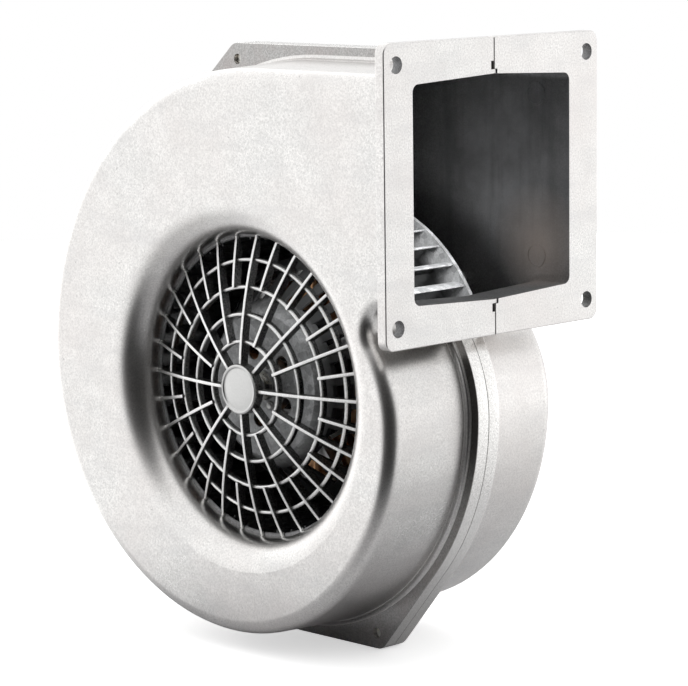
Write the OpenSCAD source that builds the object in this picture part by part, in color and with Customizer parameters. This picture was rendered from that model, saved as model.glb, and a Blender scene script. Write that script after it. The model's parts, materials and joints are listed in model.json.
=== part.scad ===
// Single-inlet centrifugal blower: two die-cast scroll halves, a domed inlet guard, a
// forward-curved impeller and a brushless motor that sits inside the impeller hub.
// The frame's origin is the centre of the outlet flange's face: +X out of the outlet, +Z up,
// and the inlet looks along -Y. Every piece is drawn about the fan axis, seen from the inlet:
// x to the outlet, y up and z out of the inlet, with z = 0 on the seam of the two halves.

/* [Scroll] */
// Side of the square that the scroll's arc centres stand on. Each arc is this much smaller than
// the one before, and the wall starts at this distance from the impeller
volute_step = 13.5; // [11:0.25:15]
// Radius of the scroll's last arc, which leads into the tongue
tongue_r = 53; // [48:0.5:56]
// Radius of the outside valley between the scroll and the duct floor
valley_r = 7; // [6:0.5:9]
// Height of the outlet duct over its walls
duct_h = 90.75; // [86:0.25:94]
// Depth of the inlet half, from the seam to its flat face
front_depth = 47; // [45:0.5:50]
// Depth of the motor half, from the seam to its flat face
rear_depth = 45.5; // [44:0.5:50]
// Wall thickness of both castings
wall = 3; // [2.5:0.1:4]
// Outside radius of the rounded edge between side wall and flat face
edge_r = 6; // [5:0.5:8]
// Draft of the side walls, inwards for each millimetre away from the seam
draft = 0.044; // [0.02:0.002:0.06]

/* [Seam flange] */
// Thickness of each half's seam flange
seam_t = 6; // [4:0.5:8]
// How far the seam flange stands out of the side wall
seam_out = 5; // [4:0.5:7]
// Radius of the ears that carry the housing screws
ear_r = 6.5; // [6:0.5:8]
// Distance of the upper ear from the fan axis, towards the back of the scroll
upper_ear_x = 38.75; // [30:0.25:44]
// Distance of the lower ear from the fan axis, towards the outlet
lower_ear_x = 36.25; // [28:0.25:40]
// Diameter of the housing screws
seam_screw_d = 4; // [3:0.5:5]
// Height of the locating lip round the front half's inner edge
lip_h = 1.5; // [1:0.1:2]
// Thickness of the locating lip
lip_t = 1.5; // [1:0.1:1.8]

/* [Outlet flange] */
// How far the outlet flange's face stands out beyond the scroll
outlet_reach = 8.5; // [7.5:0.5:20]
// Width of the outlet flange across both halves
flange_w = 118; // [114:0.5:130]
// Height of the outlet flange
flange_h = 112; // [109:0.5:124]
// Thickness of the outlet flange
flange_t = 4.5; // [3.5:0.5:7]
// Corner radius of the outlet flange
flange_corner_r = 4; // [2:0.5:5]
// Distance between the mounting holes across the width
bolt_pitch_w = 105; // [103:0.5:108]
// Distance between the mounting holes over the height
bolt_pitch_h = 96; // [90:0.5:102]
// Diameter of the mounting holes
bolt_d = 6.4; // [4.5:0.1:6.6]

/* [Inlet] */
// Radius of the throat at the end of the bell mouth
throat_r = 60; // [58:0.25:61]
// Radius of the bell mouth's rounding
bell_r = 12.5; // [10:0.5:13]
// Length of the straight throat behind the rounding
throat_l = 2.5; // [1.5:0.5:2.5]
// Radius of the mouth's wall edge at the throat end
throat_wall = 2.5; // [2:0.25:2.5]

/* [Guard] */
// Height of the guard's dome, from its rim to its crown
dome_rise = 10.4; // [8:0.1:11]
// Height of the dome's crown below the inlet face
crown_drop = 3; // [2.5:0.5:5]
// Radius of the guard's centre disc
guard_hub_r = 10; // [8:0.5:12]
// Thickness of the guard's centre disc
guard_hub_t = 5; // [4:0.5:6]
// Radius of the smallest guard ring
first_ring_r = 18.5; // [17:0.5:20]
// Distance from the largest guard ring to the throat's wall
rim_gap = 10; // [8:0.25:12]
// Number of guard rings
rings = 4; // [3:1:4]
// Number of bars that reach the rim, a multiple of eight
bars = 32; // [16:8:40]
// Width of the guard's bars
bar_w = 1.4; // [1:0.1:1.8]
// Depth of the guard's bars along the axis
bar_depth = 4; // [3:0.25:5]
// How far the rings sit back from the front of the bars
ring_set_back = 1.2; // [0.8:0.1:1.6]
// Radial thickness of the guard's rim
rim_t = 1.4; // [1:0.1:1.8]

/* [Impeller] */
// How far the impeller's rim stands out beyond the throat
wheel_rim = 10; // [8:0.25:12]
// How far the blades reach in past the throat
blade_reach = 2; // [1:0.25:3]
// Number of blades
blades = 44; // [32:1:48]
// Thickness of the blades
blade_t = 0.8; // [0.6:0.1:1]
// Radius of the blades' curve
blade_curve_r = 12; // [11.5:0.25:13]
// Front of the impeller, measured from the seam
wheel_front = 33; // [31.5:0.25:33.5]
// Back of the impeller, measured from the seam
wheel_back = 25; // [23:0.25:29]
// Thickness of the impeller's front ring
ring_t = 2; // [1.5:0.1:2.5]
// Thickness of the hub plate's sheet
sheet_t = 1; // [0.8:0.1:1.2]
// Radius of the flat disc at the front of the hub plate
disc_r = 30; // [28:0.5:31]
// Height of that disc above the seam
disc_z = 31; // [30.5:0.25:31.5]
// Number of vent windows in the hub plate
vents = 24; // [12:1:26]
// Number of round holes in the hub disc
disc_holes = 5; // [3:1:6]

/* [Motor] */
// How far inside the throat the stator laminations end
stator_step = 14.5; // [14.5:0.25:15.5]
// Length of the stator laminations
stack_l = 20; // [16:0.5:20]
// Number of stator teeth
teeth = 12; // [9:1:12]
// Radius of the rotor over its magnets
rotor_r = 23.5; // [22:0.25:23.5]
// Air gap between rotor and stator
air_gap = 0.5; // [0.4:0.1:1]
// Thickness of the rotor magnets
magnet_t = 3.5; // [2.5:0.25:4]
// Number of rotor magnets
magnets = 8; // [4:2:10]
// Diameter of the shaft in its bearings
shaft_d = 8; // [7.5:0.5:8]
// Outside diameter of the ball bearings
bearing_d = 22; // [20:0.5:22]
// Width of the ball bearings
bearing_w = 7; // [6:0.25:7]
// Number of balls in each bearing
balls = 7; // [6:1:7]

/* [Motor flange] */
// Distance from the stator's edge out to the circle of the motor screws
motor_screw_step = 6.5; // [6:0.25:7.5]
// Edge of the motor flange outside that circle
motor_flange_edge = 5; // [4:0.5:8]
// Thickness of the motor flange
motor_flange_t = 4; // [3:0.5:5]
// Diameter of the motor screws
motor_screw_d = 4; // [3:0.5:4]
// Distance from the cover's edge out to the circle of the motor screws
cover_step = 4.5; // [4:0.25:5.5]
// Thickness of the electronics cover
cover_t = 2; // [1.5:0.25:3]
// How far inside the cover the circuit board ends
board_step = 9.5; // [8.5:0.5:13.5]
// Bore of the cable grommet
cable_d = 6; // [4:0.5:8]

/* [Hidden] */

$fn = 96;
// Steps of each rounded edge, and degrees between points on long outlines
edge_steps = 6;
arc_step = 3;
// Overrun of cutting shapes past the face that they open
cut = 1;
// Clearance of a piece that sits in a pocket, and of a part pressed or pushed on
fit = 0.2;
seat = 0.02;

aluminium = [0.86, 0.86, 0.85];
steel = [0.72, 0.73, 0.75];
galvanised = [0.62, 0.63, 0.64];
dark_plastic = [0.12, 0.12, 0.13];

// --- plan of the scroll, seen from the inlet ---------------------------------------------
wheel_r = throat_r + wheel_rim;
blade_in_r = throat_r - blade_reach;
scroll_r = wheel_r + wall + 3.5 * volute_step;
half_step = volute_step / 2;
stator_r = throat_r - stator_step;
motor_screw_pcr = stator_r + motor_screw_step;
motor_flange_r = motor_screw_pcr + motor_flange_edge;
cover_r = motor_screw_pcr - cover_step;
board_r = cover_r - board_step;
ul_c = [half_step, half_step];
ll_c = [-half_step, half_step];
lr_c = [-half_step, -half_step];
ul_r = scroll_r;
ll_r = ul_r - volute_step;
lr_r = ll_r - volute_step;
right_x = lr_r - half_step;
top_y = ul_r + half_step;
bottom_y = half_step - ll_r;
ur_c = [right_x - tongue_r, -half_step];
floor_y = top_y - duct_h;
valley_y = floor_y - valley_r;
// The valley's arc touches the tongue's arc from outside
reach = tongue_r + valley_r;
valley_c = [ur_c.x + sqrt(pow(reach, 2) - pow(valley_y + half_step, 2)), valley_y];
tongue_a = asin((valley_y + half_step) / reach);

outlet_x = right_x + outlet_reach;
flange_y = (top_y + floor_y) / 2;
flange_back = outlet_x - flange_t;
flange_low = flange_y - flange_h / 2;

// --- ears of the seam flange ---------------------------------------------------------------
ear_reach = 1.5;
ear_ul_a = 158;
ear_ll_a = 222;
function polar(c, r, a) = [c.x + r * cos(a), c.y + r * sin(a)];
upper_ear = [-upper_ear_x, top_y + seam_out - ear_r];
lower_ear = [lower_ear_x, bottom_y - seam_out + ear_r];
ear_ul = polar(ul_c, ul_r + seam_out + ear_reach, ear_ul_a);
ear_ll = polar(ll_c, ll_r + seam_out + ear_reach, ear_ll_a);
ears = [upper_ear, ear_ul, ear_ll, lower_ear];

// --- levels along the axis -----------------------------------------------------------------
bell_end = front_depth - bell_r;
throat_end = bell_end - throat_l;
crown_z = front_depth - crown_drop;
blade_front = wheel_front - ring_t;
plate_front = sheet_t - wheel_back;
stack_front = 2;
stack_back = stack_front - stack_l;
insulator_t = 1.2;
coil_t = 3.6;
coil_rise = 4.6;
bearing_r = bearing_d / 2;
shaft_r = shaft_d / 2;
front_bearing_z = 12.6;
rear_bearing_z = -37;
diaphragm_t = 3;
diaphragm_back = rear_bearing_z + bearing_w - 1;
flange_in = -rear_depth;
flange_out = flange_in - motor_flange_t;
board_t = 1.6;
board_front = -42;

// Points of an arc, both ends included
function arc(c, r, a0, a1) =
    let (n = max(1, ceil(abs(a1 - a0) / arc_step)))
    [for (i = [0 : n]) polar(c, r, a0 + (a1 - a0) * i / n)];

// Half angle over which two circles share an outside tangent on each side
function tangent_a(r_big, r_small, apart) = acos((r_big - r_small) / apart);
function bearing_of(v) = atan2(v.y, v.x);

// The scroll's outline moved outwards by off, from the right hand side anticlockwise
function plan(off, end_x) = concat(
    arc(ur_c, tongue_r + off, 0, tongue_a),
    arc(valley_c, valley_r - off, 180 + tongue_a, 90),
    [[end_x, floor_y - off], [end_x, top_y + off]],
    arc(ul_c, ul_r + off, 90, 180),
    arc(ll_c, ll_r + off, 180, 270),
    arc(lr_c, lr_r + off, 270, 360));

// An ear on an arc: the arc's tangents run into a small circle that stands on it
function arc_ear(c, r, a0, a1, ear_a) =
    let (half = tangent_a(r, ear_r, r + ear_reach))
    concat(arc(c, r, a0, ear_a - half),
        arc(polar(c, r + ear_reach, ear_a), ear_r, ear_a - half, ear_a + half),
        arc(c, r, ear_a + half, a1));

// The seam flange's outline, with its ears and the web that fills the valley
function seam_outline() =
    let (ul = ul_r + seam_out, ll = ll_r + seam_out, lr = lr_r + seam_out,
        up = upper_ear - ul_c, low = lower_ear - lr_c,
        up_a = bearing_of(up) + tangent_a(ul, ear_r, norm(up)),
        low_a = 360 + bearing_of(low) + tangent_a(lr, ear_r, norm(low)),
        web_a = asin((flange_low + half_step) / (tongue_r + seam_out)))
    concat(arc(ur_c, tongue_r + seam_out, 0, web_a),
        [[flange_back + cut, flange_low], [flange_back + cut, top_y + seam_out]],
        arc(upper_ear, ear_r, 90, up_a),
        arc_ear(ul_c, ul, up_a, 180, ear_ul_a),
        arc_ear(ll_c, ll, 180, 270, ear_ll_a),
        arc(lower_ear, ear_r, 270, low_a),
        arc(lr_c, lr, low_a, 360));

// Everything is drawn about the fan axis and then set into the frame
module at_fan_axis() {
    translate([-outlet_x, 0, -flange_y]) rotate([90, 0, 0]) children();
}

module ring_of(n, start = 0) {
    for (i = [0 : n - 1]) rotate(start + 360 * i / n) children();
}

module tube(r_out, r_in, z0, z1) {
    translate([0, 0, z0]) difference() {
        cylinder(r = r_out, h = z1 - z0);
        translate([0, 0, -cut]) cylinder(r = r_in, h = z1 - z0 + 2 * cut);
    }
}

// --- walls of the scroll -------------------------------------------------------------------
// Points from the seam up a drafted wall and round its edge, at distance from the wall's base
function wall_edge(depth, edge) = concat([[0, 0]],
    [for (i = [0 : edge_steps])
        let (t = 90 * i / edge_steps)
        [draft * (depth - edge) + edge * (1 - cos(t)), depth - edge + edge * sin(t)]]);
function reversed(v) = [for (i = [len(v) - 1 : -1 : 0]) v[i]];

// Section of a wall of radius r, filled inwards to start; it begins at z = -under
module wall_section(r, depth, edge, under, start = 0) {
    polygon(concat([[start, -under]], under > 0 ? [[r, -under]] : [],
        [for (p = wall_edge(depth, edge)) [r - p.x, p.y]], [[start, depth]]));
}

// The same wall seen from the valley's side, filled away from the valley
module valley_section(r, depth, edge, under) {
    polygon(concat([[reach, -under]], under > 0 ? [[r, -under]] : [],
        [for (p = wall_edge(depth, edge)) [r + p.x, p.y]], [[reach, depth]]));
}

module duct_section(low, high, depth, edge, under) {
    polygon(concat(under > 0 ? [[low, -under], [high, -under]] : [],
        [for (p = wall_edge(depth, edge)) [high - p.x, p.y]],
        [for (p = reversed(wall_edge(depth, edge))) [low + p.x, p.y]]));
}

module quarter(c, r, a0, a1, depth, edge, under) {
    translate(c) rotate_extrude(angle = a1 - a0, start = a0) wall_section(r, depth, edge, under);
}

// A prism along x, whose profile is given in y and z
module along_x(x0, x1) {
    translate([x0, 0, 0]) rotate([90, 0, 90]) linear_extrude(x1 - x0) children();
}

// The whole scroll and duct as one solid above the seam: its outside, or its cavity
module scroll_form(inset, depth, end_x, under = 0) {
    d = depth - inset;
    e = edge_r - inset;
    quarter(ul_c, ul_r - inset, 90, 180, d, e, under);
    quarter(ll_c, ll_r - inset, 180, 270, d, e, under);
    quarter(lr_c, lr_r - inset, 270, 360, d, e, under);
    quarter(ur_c, tongue_r - inset, 0, tongue_a, d, e, under);
    translate(valley_c) rotate_extrude(angle = 90 + tongue_a, start = 90)
        valley_section(valley_r + inset, d, e, under);
    along_x(half_step, valley_c.x) translate([half_step, 0])
        wall_section(ul_r - inset, d, e, under, valley_c.y + reach / 2 - half_step);
    along_x(valley_c.x, end_x) duct_section(floor_y + inset, top_y - inset, d, e, under);
    translate([0, 0, -under]) linear_extrude(d + under)
        polygon([ll_c, lr_c, ur_c, [valley_c.x, valley_c.y + reach], [half_step, valley_c.y + reach],
            ul_c]);
}

module outlet_flange_half() {
    w = flange_w / 2;
    low = flange_low;
    high = flange_low + flange_h;
    k = flange_corner_r;
    along_x(flange_back, outlet_x) polygon(concat([[low, 0], [high, 0]],
        arc([high - k, w - k], k, 0, 90), arc([low + k, w - k], k, 90, 180)));
}

module bolt_holes() {
    for (y = [flange_y - bolt_pitch_h / 2, flange_y + bolt_pitch_h / 2])
        translate([flange_back - cut, y, bolt_pitch_w / 2]) rotate([0, 90, 0])
            cylinder(d = bolt_d, h = flange_t + 2 * cut);
}

// One casting without its openings, above the seam
module half_shell(depth, ear_hole_d, lip) {
    difference() {
        union() {
            scroll_form(0, depth, outlet_x);
            linear_extrude(seam_t) polygon(seam_outline());
            outlet_flange_half();
            if (lip) translate([0, 0, -lip_h]) linear_extrude(lip_h + cut)
                polygon(plan(lip_t - wall, outlet_x));
        }
        scroll_form(wall, depth, outlet_x + cut, lip_h + cut);
        bolt_holes();
        for (e = ears) translate([e.x, e.y, -cut])
            cylinder(d = ear_hole_d, h = seam_t + 2 * cut);
    }
}

// --- bell mouth ----------------------------------------------------------------------------
bell_edge_r = throat_r + bell_r;
module bell_blank() {
    inner = bell_r - wall;
    difference() {
        rotate_extrude() difference() {
            union() {
                translate([throat_r - cut, throat_end]) square([throat_wall + cut, throat_l + cut]);
                translate([throat_r - cut, bell_end]) square([bell_r + cut, bell_r]);
            }
            translate([bell_edge_r, bell_end]) circle(r = inner);
        }
        translate([0, 0, throat_end - cut]) cylinder(r = throat_r - cut / 2, h = cut / 2);
    }
}

module bell_air() {
    rotate_extrude() difference() {
        union() {
            translate([0, throat_end - cut]) square([throat_r, throat_l + cut + bell_r]);
            translate([0, bell_end]) square([bell_edge_r, bell_r + cut]);
        }
        translate([bell_edge_r, bell_end]) circle(r = bell_r);
    }
}

// Dark pocket that the seam shows beside the lip, on both edges of the outlet
notch_w = 1.7;
notch_l = 3.2;
module seam_notches() {
    for (y = [top_y - wall + lip_t, floor_y + wall - lip_t - notch_l])
        translate([flange_back - cut, y, -cut]) cube([flange_t + 2 * cut, notch_l, notch_w + cut]);
}

// Two small bridges between the side wall and the lower ear
nib_a = [-70, -62];
module wall_nibs() {
    for (a = nib_a) translate(lr_c) rotate(a)
        translate([lr_r - wall / 2, -0.6, seam_t - cut]) cube([3.2, 1.2, cut + 1.2]);
}

module front_housing() {
    color(aluminium) at_fan_axis() difference() {
        union() {
            half_shell(front_depth, seam_screw_d + 2 * seat, true);
            bell_blank();
            wall_nibs();
        }
        bell_air();
        seam_notches();
    }
}

// --- rear half -----------------------------------------------------------------------------
motor_spigot_r = stator_r - 0.1;
boss_r = 4.5;
boss_h = 6;
ejector_r = 4.6;
ejector_h = 0.4;
ejector_spots = [[outlet_x - 17, top_y - 13.5], [outlet_x - 17, floor_y + 14.25]];

module rear_housing() {
    rebate = lip_t - wall + fit;
    inside = rear_depth - wall;
    color(aluminium) at_fan_axis() mirror([0, 0, 1]) difference() {
        union() {
            difference() {
                half_shell(rear_depth, seam_screw_d + 2 * fit, false);
                translate([0, 0, -cut]) linear_extrude(lip_h + fit + cut)
                    polygon(plan(rebate, outlet_x + cut));
            }
            ring_of(4, 45) translate([motor_screw_pcr, 0, inside - boss_h])
                cylinder(r = boss_r, h = boss_h + wall / 2);
            for (s = ejector_spots) translate([s.x, s.y, inside - ejector_h])
                cylinder(r = ejector_r, h = ejector_h + wall / 2);
        }
        translate([0, 0, inside - cut]) cylinder(r = motor_spigot_r + fit, h = wall + 2 * cut);
        ring_of(4, 45) translate([motor_screw_pcr, 0, inside - boss_h - cut])
            cylinder(d = motor_screw_d + 2 * seat, h = boss_h + wall + 2 * cut);
    }
}

// A pan-head screw along z: the head stands on z = 0 and the shank runs to -l
head_ratio = 1.9;
module pan_screw(d, l) {
    head_h = 0.62 * d;
    difference() {
        union() {
            cylinder(d = head_ratio * d, h = head_h);
            translate([0, 0, -l]) cylinder(d = d, h = l);
        }
        translate([0, 0, head_h / 2]) linear_extrude(head_h) {
            square([d, d / 4], center = true);
            square([d / 4, d], center = true);
        }
    }
}

// The housing screws go in from the motor side and end just inside the front ears
tip_drop = 1.5;
module housing_screws() {
    color(steel) at_fan_axis() for (e = ears) translate([e.x, e.y, -seam_t]) mirror([0, 0, 1])
        pan_screw(seam_screw_d, 2 * seam_t - tip_drop);
}

// --- inlet guard ---------------------------------------------------------------------------
bar_end_r = throat_r - 0.5;
dome_r = (pow(bar_end_r, 2) + pow(dome_rise, 2)) / (2 * dome_rise);
function dome_z(r) = crown_z - dome_r + sqrt(pow(dome_r, 2) - pow(r, 2));
ring_pitch = (throat_r - rim_gap - first_ring_r) / (rings - 1);
guard_ring_r = [for (i = [0 : rings - 1]) first_ring_r + i * ring_pitch];

// A bar whose front follows the dome, from radius r0 to the rim
module dome_bar(r0) {
    n = 6;
    front = [for (i = [0 : n]) let (r = r0 + (bar_end_r - r0) * i / n) [r, dome_z(r)]];
    translate([0, bar_w / 2, 0]) rotate([90, 0, 0]) linear_extrude(bar_w)
        polygon(concat(front,
            [for (p = reversed(front)) [p.x, max(p.y - bar_depth, throat_end)]]));
}

module inlet_guard() {
    rim_out = throat_r - seat;
    rim_front = dome_z(bar_end_r);
    color(aluminium) at_fan_axis() {
        translate([0, 0, crown_z + 1 - guard_hub_t]) cylinder(r = guard_hub_r, h = guard_hub_t);
        for (r = guard_ring_r)
            tube(r + bar_w / 2, r - bar_w / 2, dome_z(r) - bar_depth, dome_z(r) - ring_set_back);
        tube(rim_out, rim_out - rim_t, throat_end, rim_front);
        for (i = [0 : bars - 1]) rotate(90 + 360 * i / bars)
            dome_bar(i % 4 == 0 ? guard_hub_r - cut
                : i % 4 == 2 ? guard_ring_r[0] : guard_ring_r[rings - 2]);
    }
}

// --- impeller ------------------------------------------------------------------------------
tip_r = wheel_r - 0.8;
blade_c = [blade_in_r + 0.5, -blade_curve_r];
nozzle_gap = 2;
front_ring_in = throat_r + throat_wall + nozzle_gap;
back_ring_t = 0.8;
back_ring_in = blade_in_r - 1;
blade_lead = 6.2;

// The wheel turns clockwise seen from the inlet, and its blades lean forwards, that way
module blade_outline() {
    intersection() {
        translate(blade_c) difference() {
            circle(r = blade_curve_r + blade_t / 2);
            circle(r = blade_curve_r - blade_t / 2);
        }
        difference() {
            circle(r = tip_r);
            circle(r = blade_in_r);
        }
        translate([blade_in_r - 2, -9.5]) square([wheel_r - blade_in_r + 4, 11.5]);
    }
}

module impeller_blades() {
    foot = plate_front + back_ring_t;
    color(galvanised) at_fan_axis() ring_of(blades, blade_lead) translate([0, 0, foot])
        linear_extrude(blade_front - foot) blade_outline();
}

module impeller_front_ring() {
    color(galvanised) at_fan_axis() tube(wheel_r, front_ring_in, blade_front, wheel_front);
}

module impeller_back_ring() {
    color(galvanised) at_fan_axis()
        tube(wheel_r, back_ring_in, plate_front, plate_front + back_ring_t);
}

// Front surface of the hub plate, from its centre hole to its rim
cone_top = disc_z - 1;
cone_foot = [stator_r + 2.5, 7];
skirt_end = plate_front + 7;
bush_collar_r = 6;
hub_profile = [[bush_collar_r + seat, disc_z], [disc_r - 1.5, disc_z], [disc_r, cone_top], cone_foot,
    [cone_foot.x, skirt_end], [cone_foot.x + 1.5, plate_front + 1.5],
    [cone_foot.x + 4, plate_front], [wheel_r, plate_front]];
vent_in_r = disc_r + 3.5;
vent_out_r = stator_r - 1.5;
vent_a = 4.5;
disc_hole_pcr = 14;
disc_hole_r = 3.2;
rivet_pcr = 8.5;

module vent_window() {
    intersection() {
        tube(vent_out_r, vent_in_r, cone_foot.y, disc_z);
        linear_extrude(disc_z) polygon([[0, 0], polar([0, 0], 2 * vent_out_r, -vent_a),
            polar([0, 0], 2 * vent_out_r, vent_a)]);
    }
}

module impeller_hub_plate() {
    back = [for (p = reversed(hub_profile)) [max(p.x - sheet_t, hub_profile[0].x), p.y - sheet_t]];
    color(galvanised) at_fan_axis() difference() {
        rotate_extrude() polygon(concat(hub_profile, [[wheel_r, plate_front - sheet_t]],
            [for (i = [1 : len(back) - 1]) back[i]]));
        ring_of(vents, 90) vent_window();
        ring_of(disc_holes, 42) translate([disc_hole_pcr, 0, disc_z - sheet_t - cut])
            cylinder(r = disc_hole_r, h = sheet_t + 2 * cut);
        ring_of(disc_holes, 6) translate([rivet_pcr, 0, disc_z - sheet_t - cut])
            cylinder(r = rivet_r + seat, h = sheet_t + 2 * cut);
    }
}

// --- hub, shaft and rotor ------------------------------------------------------------------
bush_r = 11;
bush_z = front_bearing_z + bearing_w;
collar_z = disc_z + 1.2;
rivet_r = 1.2;
rivet_depth = 4;

module hub_bush() {
    top = disc_z - sheet_t;
    color(steel) at_fan_axis() difference() {
        union() {
            translate([0, 0, top - 4.5]) cylinder(r = bush_r, h = 4.5);
            translate([0, 0, bush_z]) cylinder(r = bush_collar_r, h = collar_z - bush_z);
        }
        translate([0, 0, bush_z - cut]) cylinder(r = shaft_r + seat, h = collar_z - bush_z + 2 * cut);
        ring_of(disc_holes, 6) translate([rivet_pcr, 0, top - rivet_depth])
            cylinder(r = rivet_r + seat, h = rivet_depth + cut);
    }
}

module hub_rivets() {
    color(aluminium) at_fan_axis() ring_of(disc_holes, 6) translate([rivet_pcr, 0, 0]) {
        translate([0, 0, disc_z]) cylinder(r1 = 2, r2 = 1.3, h = 0.9);
        translate([0, 0, disc_z - sheet_t - rivet_depth + fit])
            cylinder(r = rivet_r, h = rivet_depth + sheet_t - fit);
    }
}

shaft_back = rear_bearing_z - 3;
shaft_front = collar_z + 2.8;
journal_r = shaft_r + 1;
clip_t = 1;
clip_r = shaft_r + 2;
groove_depth = 0.5;
clip_play = 0.1;

module motor_shaft() {
    color(steel) at_fan_axis() difference() {
        union() {
            translate([0, 0, shaft_back]) cylinder(r = shaft_r, h = shaft_front - shaft_back);
            translate([0, 0, rear_bearing_z + bearing_w])
                cylinder(r = journal_r, h = front_bearing_z - rear_bearing_z - bearing_w);
        }
        tube(shaft_r + cut, shaft_r - groove_depth, rear_bearing_z - clip_t - clip_play,
            rear_bearing_z);
        tube(shaft_r + cut, shaft_r - groove_depth, collar_z, collar_z + clip_t + clip_play);
    }
}

module retaining_rings() {
    color(steel) at_fan_axis() for (z = [rear_bearing_z - clip_t, collar_z]) difference() {
        tube(clip_r, shaft_r - groove_depth + seat, z, z + clip_t);
        translate([0, -1.2, z - cut]) cube([clip_r + cut, 2.4, clip_t + 2 * cut]);
    }
}

core_r = rotor_r - magnet_t;
module rotor_core() {
    color(galvanised) at_fan_axis() difference() {
        tube(core_r, journal_r + seat, stack_back, stack_front);
        ring_of(6) translate([(core_r + journal_r) / 2, 0, stack_back - cut])
            cylinder(r = 3, h = stack_l + 2 * cut);
    }
}

module rotor_magnets() {
    gap_a = 2;
    half_a = 180 / magnets - gap_a;
    color([0.22, 0.22, 0.24]) at_fan_axis() ring_of(magnets) intersection() {
        tube(rotor_r, core_r + seat, stack_back, stack_front);
        translate([0, 0, stack_back]) linear_extrude(stack_l) polygon([[0, 0],
            polar([0, 0], 2 * rotor_r, -half_a), polar([0, 0], 2 * rotor_r, half_a)]);
    }
}

// --- ball bearings -------------------------------------------------------------------------
race_t = 2;
ball_play = 0.05;
inner_race_r = shaft_r + race_t;
outer_race_r = bearing_r - race_t;
ball_pcr = (inner_race_r + outer_race_r) / 2;
ball_r = (outer_race_r - inner_race_r) / 2 - ball_play;
bearing_z = [rear_bearing_z, front_bearing_z];

module bearing_inner_races() {
    color(steel) at_fan_axis() for (z = bearing_z)
        tube(inner_race_r, shaft_r + seat, z, z + bearing_w);
}

module bearing_outer_races() {
    color(steel) at_fan_axis() for (z = bearing_z)
        tube(bearing_r - seat, outer_race_r, z, z + bearing_w);
}

module bearing_balls() {
    color(steel) at_fan_axis() for (z = bearing_z) ring_of(balls)
        translate([ball_pcr, 0, z + bearing_w / 2]) sphere(r = ball_r);
}

module preload_washer() {
    color(steel) at_fan_axis()
        tube(bearing_r - 0.4, outer_race_r - 0.4, front_bearing_z - 0.6, front_bearing_z);
}

// --- stator --------------------------------------------------------------------------------
bore_r = rotor_r + air_gap;
yoke_in = stator_r - 5.5;
tooth_w = 5;
shoe_t = 2.5;
shoe_a = 150 / teeth - 1;
stator_screw_pcr = stator_r - 2.9;
stator_screw_d = 3;
screw_slots = 4;
slot_a = 180 / teeth;

module stator_holes(z0, z1, d) {
    ring_of(screw_slots, slot_a) translate([stator_screw_pcr, 0, z0 - cut])
        cylinder(d = d, h = z1 - z0 + 2 * cut);
}

module tooth_form(width, shoe_in, shoe_out) {
    translate([shoe_in + 0.5, -width / 2]) square([yoke_in - shoe_in, width]);
    intersection() {
        difference() {
            circle(r = shoe_out);
            circle(r = shoe_in);
        }
        polygon([[0, 0], polar([0, 0], 2 * shoe_out, -shoe_a), polar([0, 0], 2 * shoe_out, shoe_a)]);
    }
}

module stator_core() {
    color(galvanised) at_fan_axis() difference() {
        union() {
            tube(stator_r, yoke_in, stack_back, stack_front);
            ring_of(teeth) translate([0, 0, stack_back]) linear_extrude(stack_l)
                tooth_form(tooth_w, bore_r, bore_r + shoe_t);
        }
        stator_holes(stack_back, stack_front, stator_screw_d + 2 * fit);
    }
}

module stator_insulators() {
    color([0.9, 0.9, 0.86]) at_fan_axis()
        for (z = [stack_front, stack_back - insulator_t]) {
            tube(yoke_in + 0.8, yoke_in - 0.4, z, z + insulator_t);
            ring_of(teeth) translate([0, 0, z]) linear_extrude(insulator_t)
                tooth_form(tooth_w, bore_r + 0.3, bore_r + shoe_t);
        }
}

coil_in_r = bore_r + shoe_t + 0.6;
coil_out_r = yoke_in - 0.6;
coil_front = stack_front + insulator_t + coil_rise;
coil_back = stack_back - insulator_t - coil_rise;

module rounded_box(w, h, r) {
    square([w - 2 * r, h], center = true);
    square([w, h - 2 * r], center = true);
    for (x = [-1, 1], y = [-1, 1]) translate([x * (w / 2 - r), y * (h / 2 - r)]) circle(r = r);
}

module stator_windings() {
    mid = (coil_front + coil_back) / 2;
    hole_h = stack_l + 2 * insulator_t;
    color([0.72, 0.40, 0.20]) at_fan_axis() ring_of(teeth)
        translate([coil_in_r, 0, mid]) rotate([90, 0, 90]) linear_extrude(coil_out_r - coil_in_r)
            difference() {
                rounded_box(tooth_w + 2 * fit + 2 * coil_t, coil_front - coil_back, 3);
                square([tooth_w + 2 * fit, hole_h], center = true);
            }
}

// --- front bearing bracket -----------------------------------------------------------------
bracket_hub_r = bearing_r + 2.5;
bracket_ring_t = 3;
seat_floor = front_bearing_z - 0.6;
arm_w = 6;

module bracket_arm() {
    foot = stator_r - 0.5;
    ring_top = stack_front + bracket_ring_t;
    rotate([90, 0, 0]) translate([0, 0, -arm_w / 2]) linear_extrude(arm_w) polygon([
        [yoke_in + 1.2, stack_front], [foot, stack_front], [foot, ring_top],
        [stator_r - 3, ring_top + 5], [stator_r - 7, ring_top + 9.5],
        [bearing_r + 1, bush_z - 0.4], [bearing_r + 1, seat_floor - 0.5],
        [yoke_in - 4, coil_front + 1.4], [yoke_in + 1.2, coil_front + 1.4]]);
}

module front_bearing_bracket() {
    color(aluminium) at_fan_axis() difference() {
        union() {
            tube(stator_r - 0.5, yoke_in + 1.2, stack_front, stack_front + bracket_ring_t);
            tube(bracket_hub_r, inner_race_r + 1, seat_floor - 1.5, bush_z);
            ring_of(4, 2 * slot_a) bracket_arm();
        }
        translate([0, 0, seat_floor]) cylinder(r = bearing_r, h = bearing_w + 2 * cut);
        stator_holes(stack_front, stack_front + bracket_ring_t, stator_screw_d + 2 * fit);
    }
}

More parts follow.
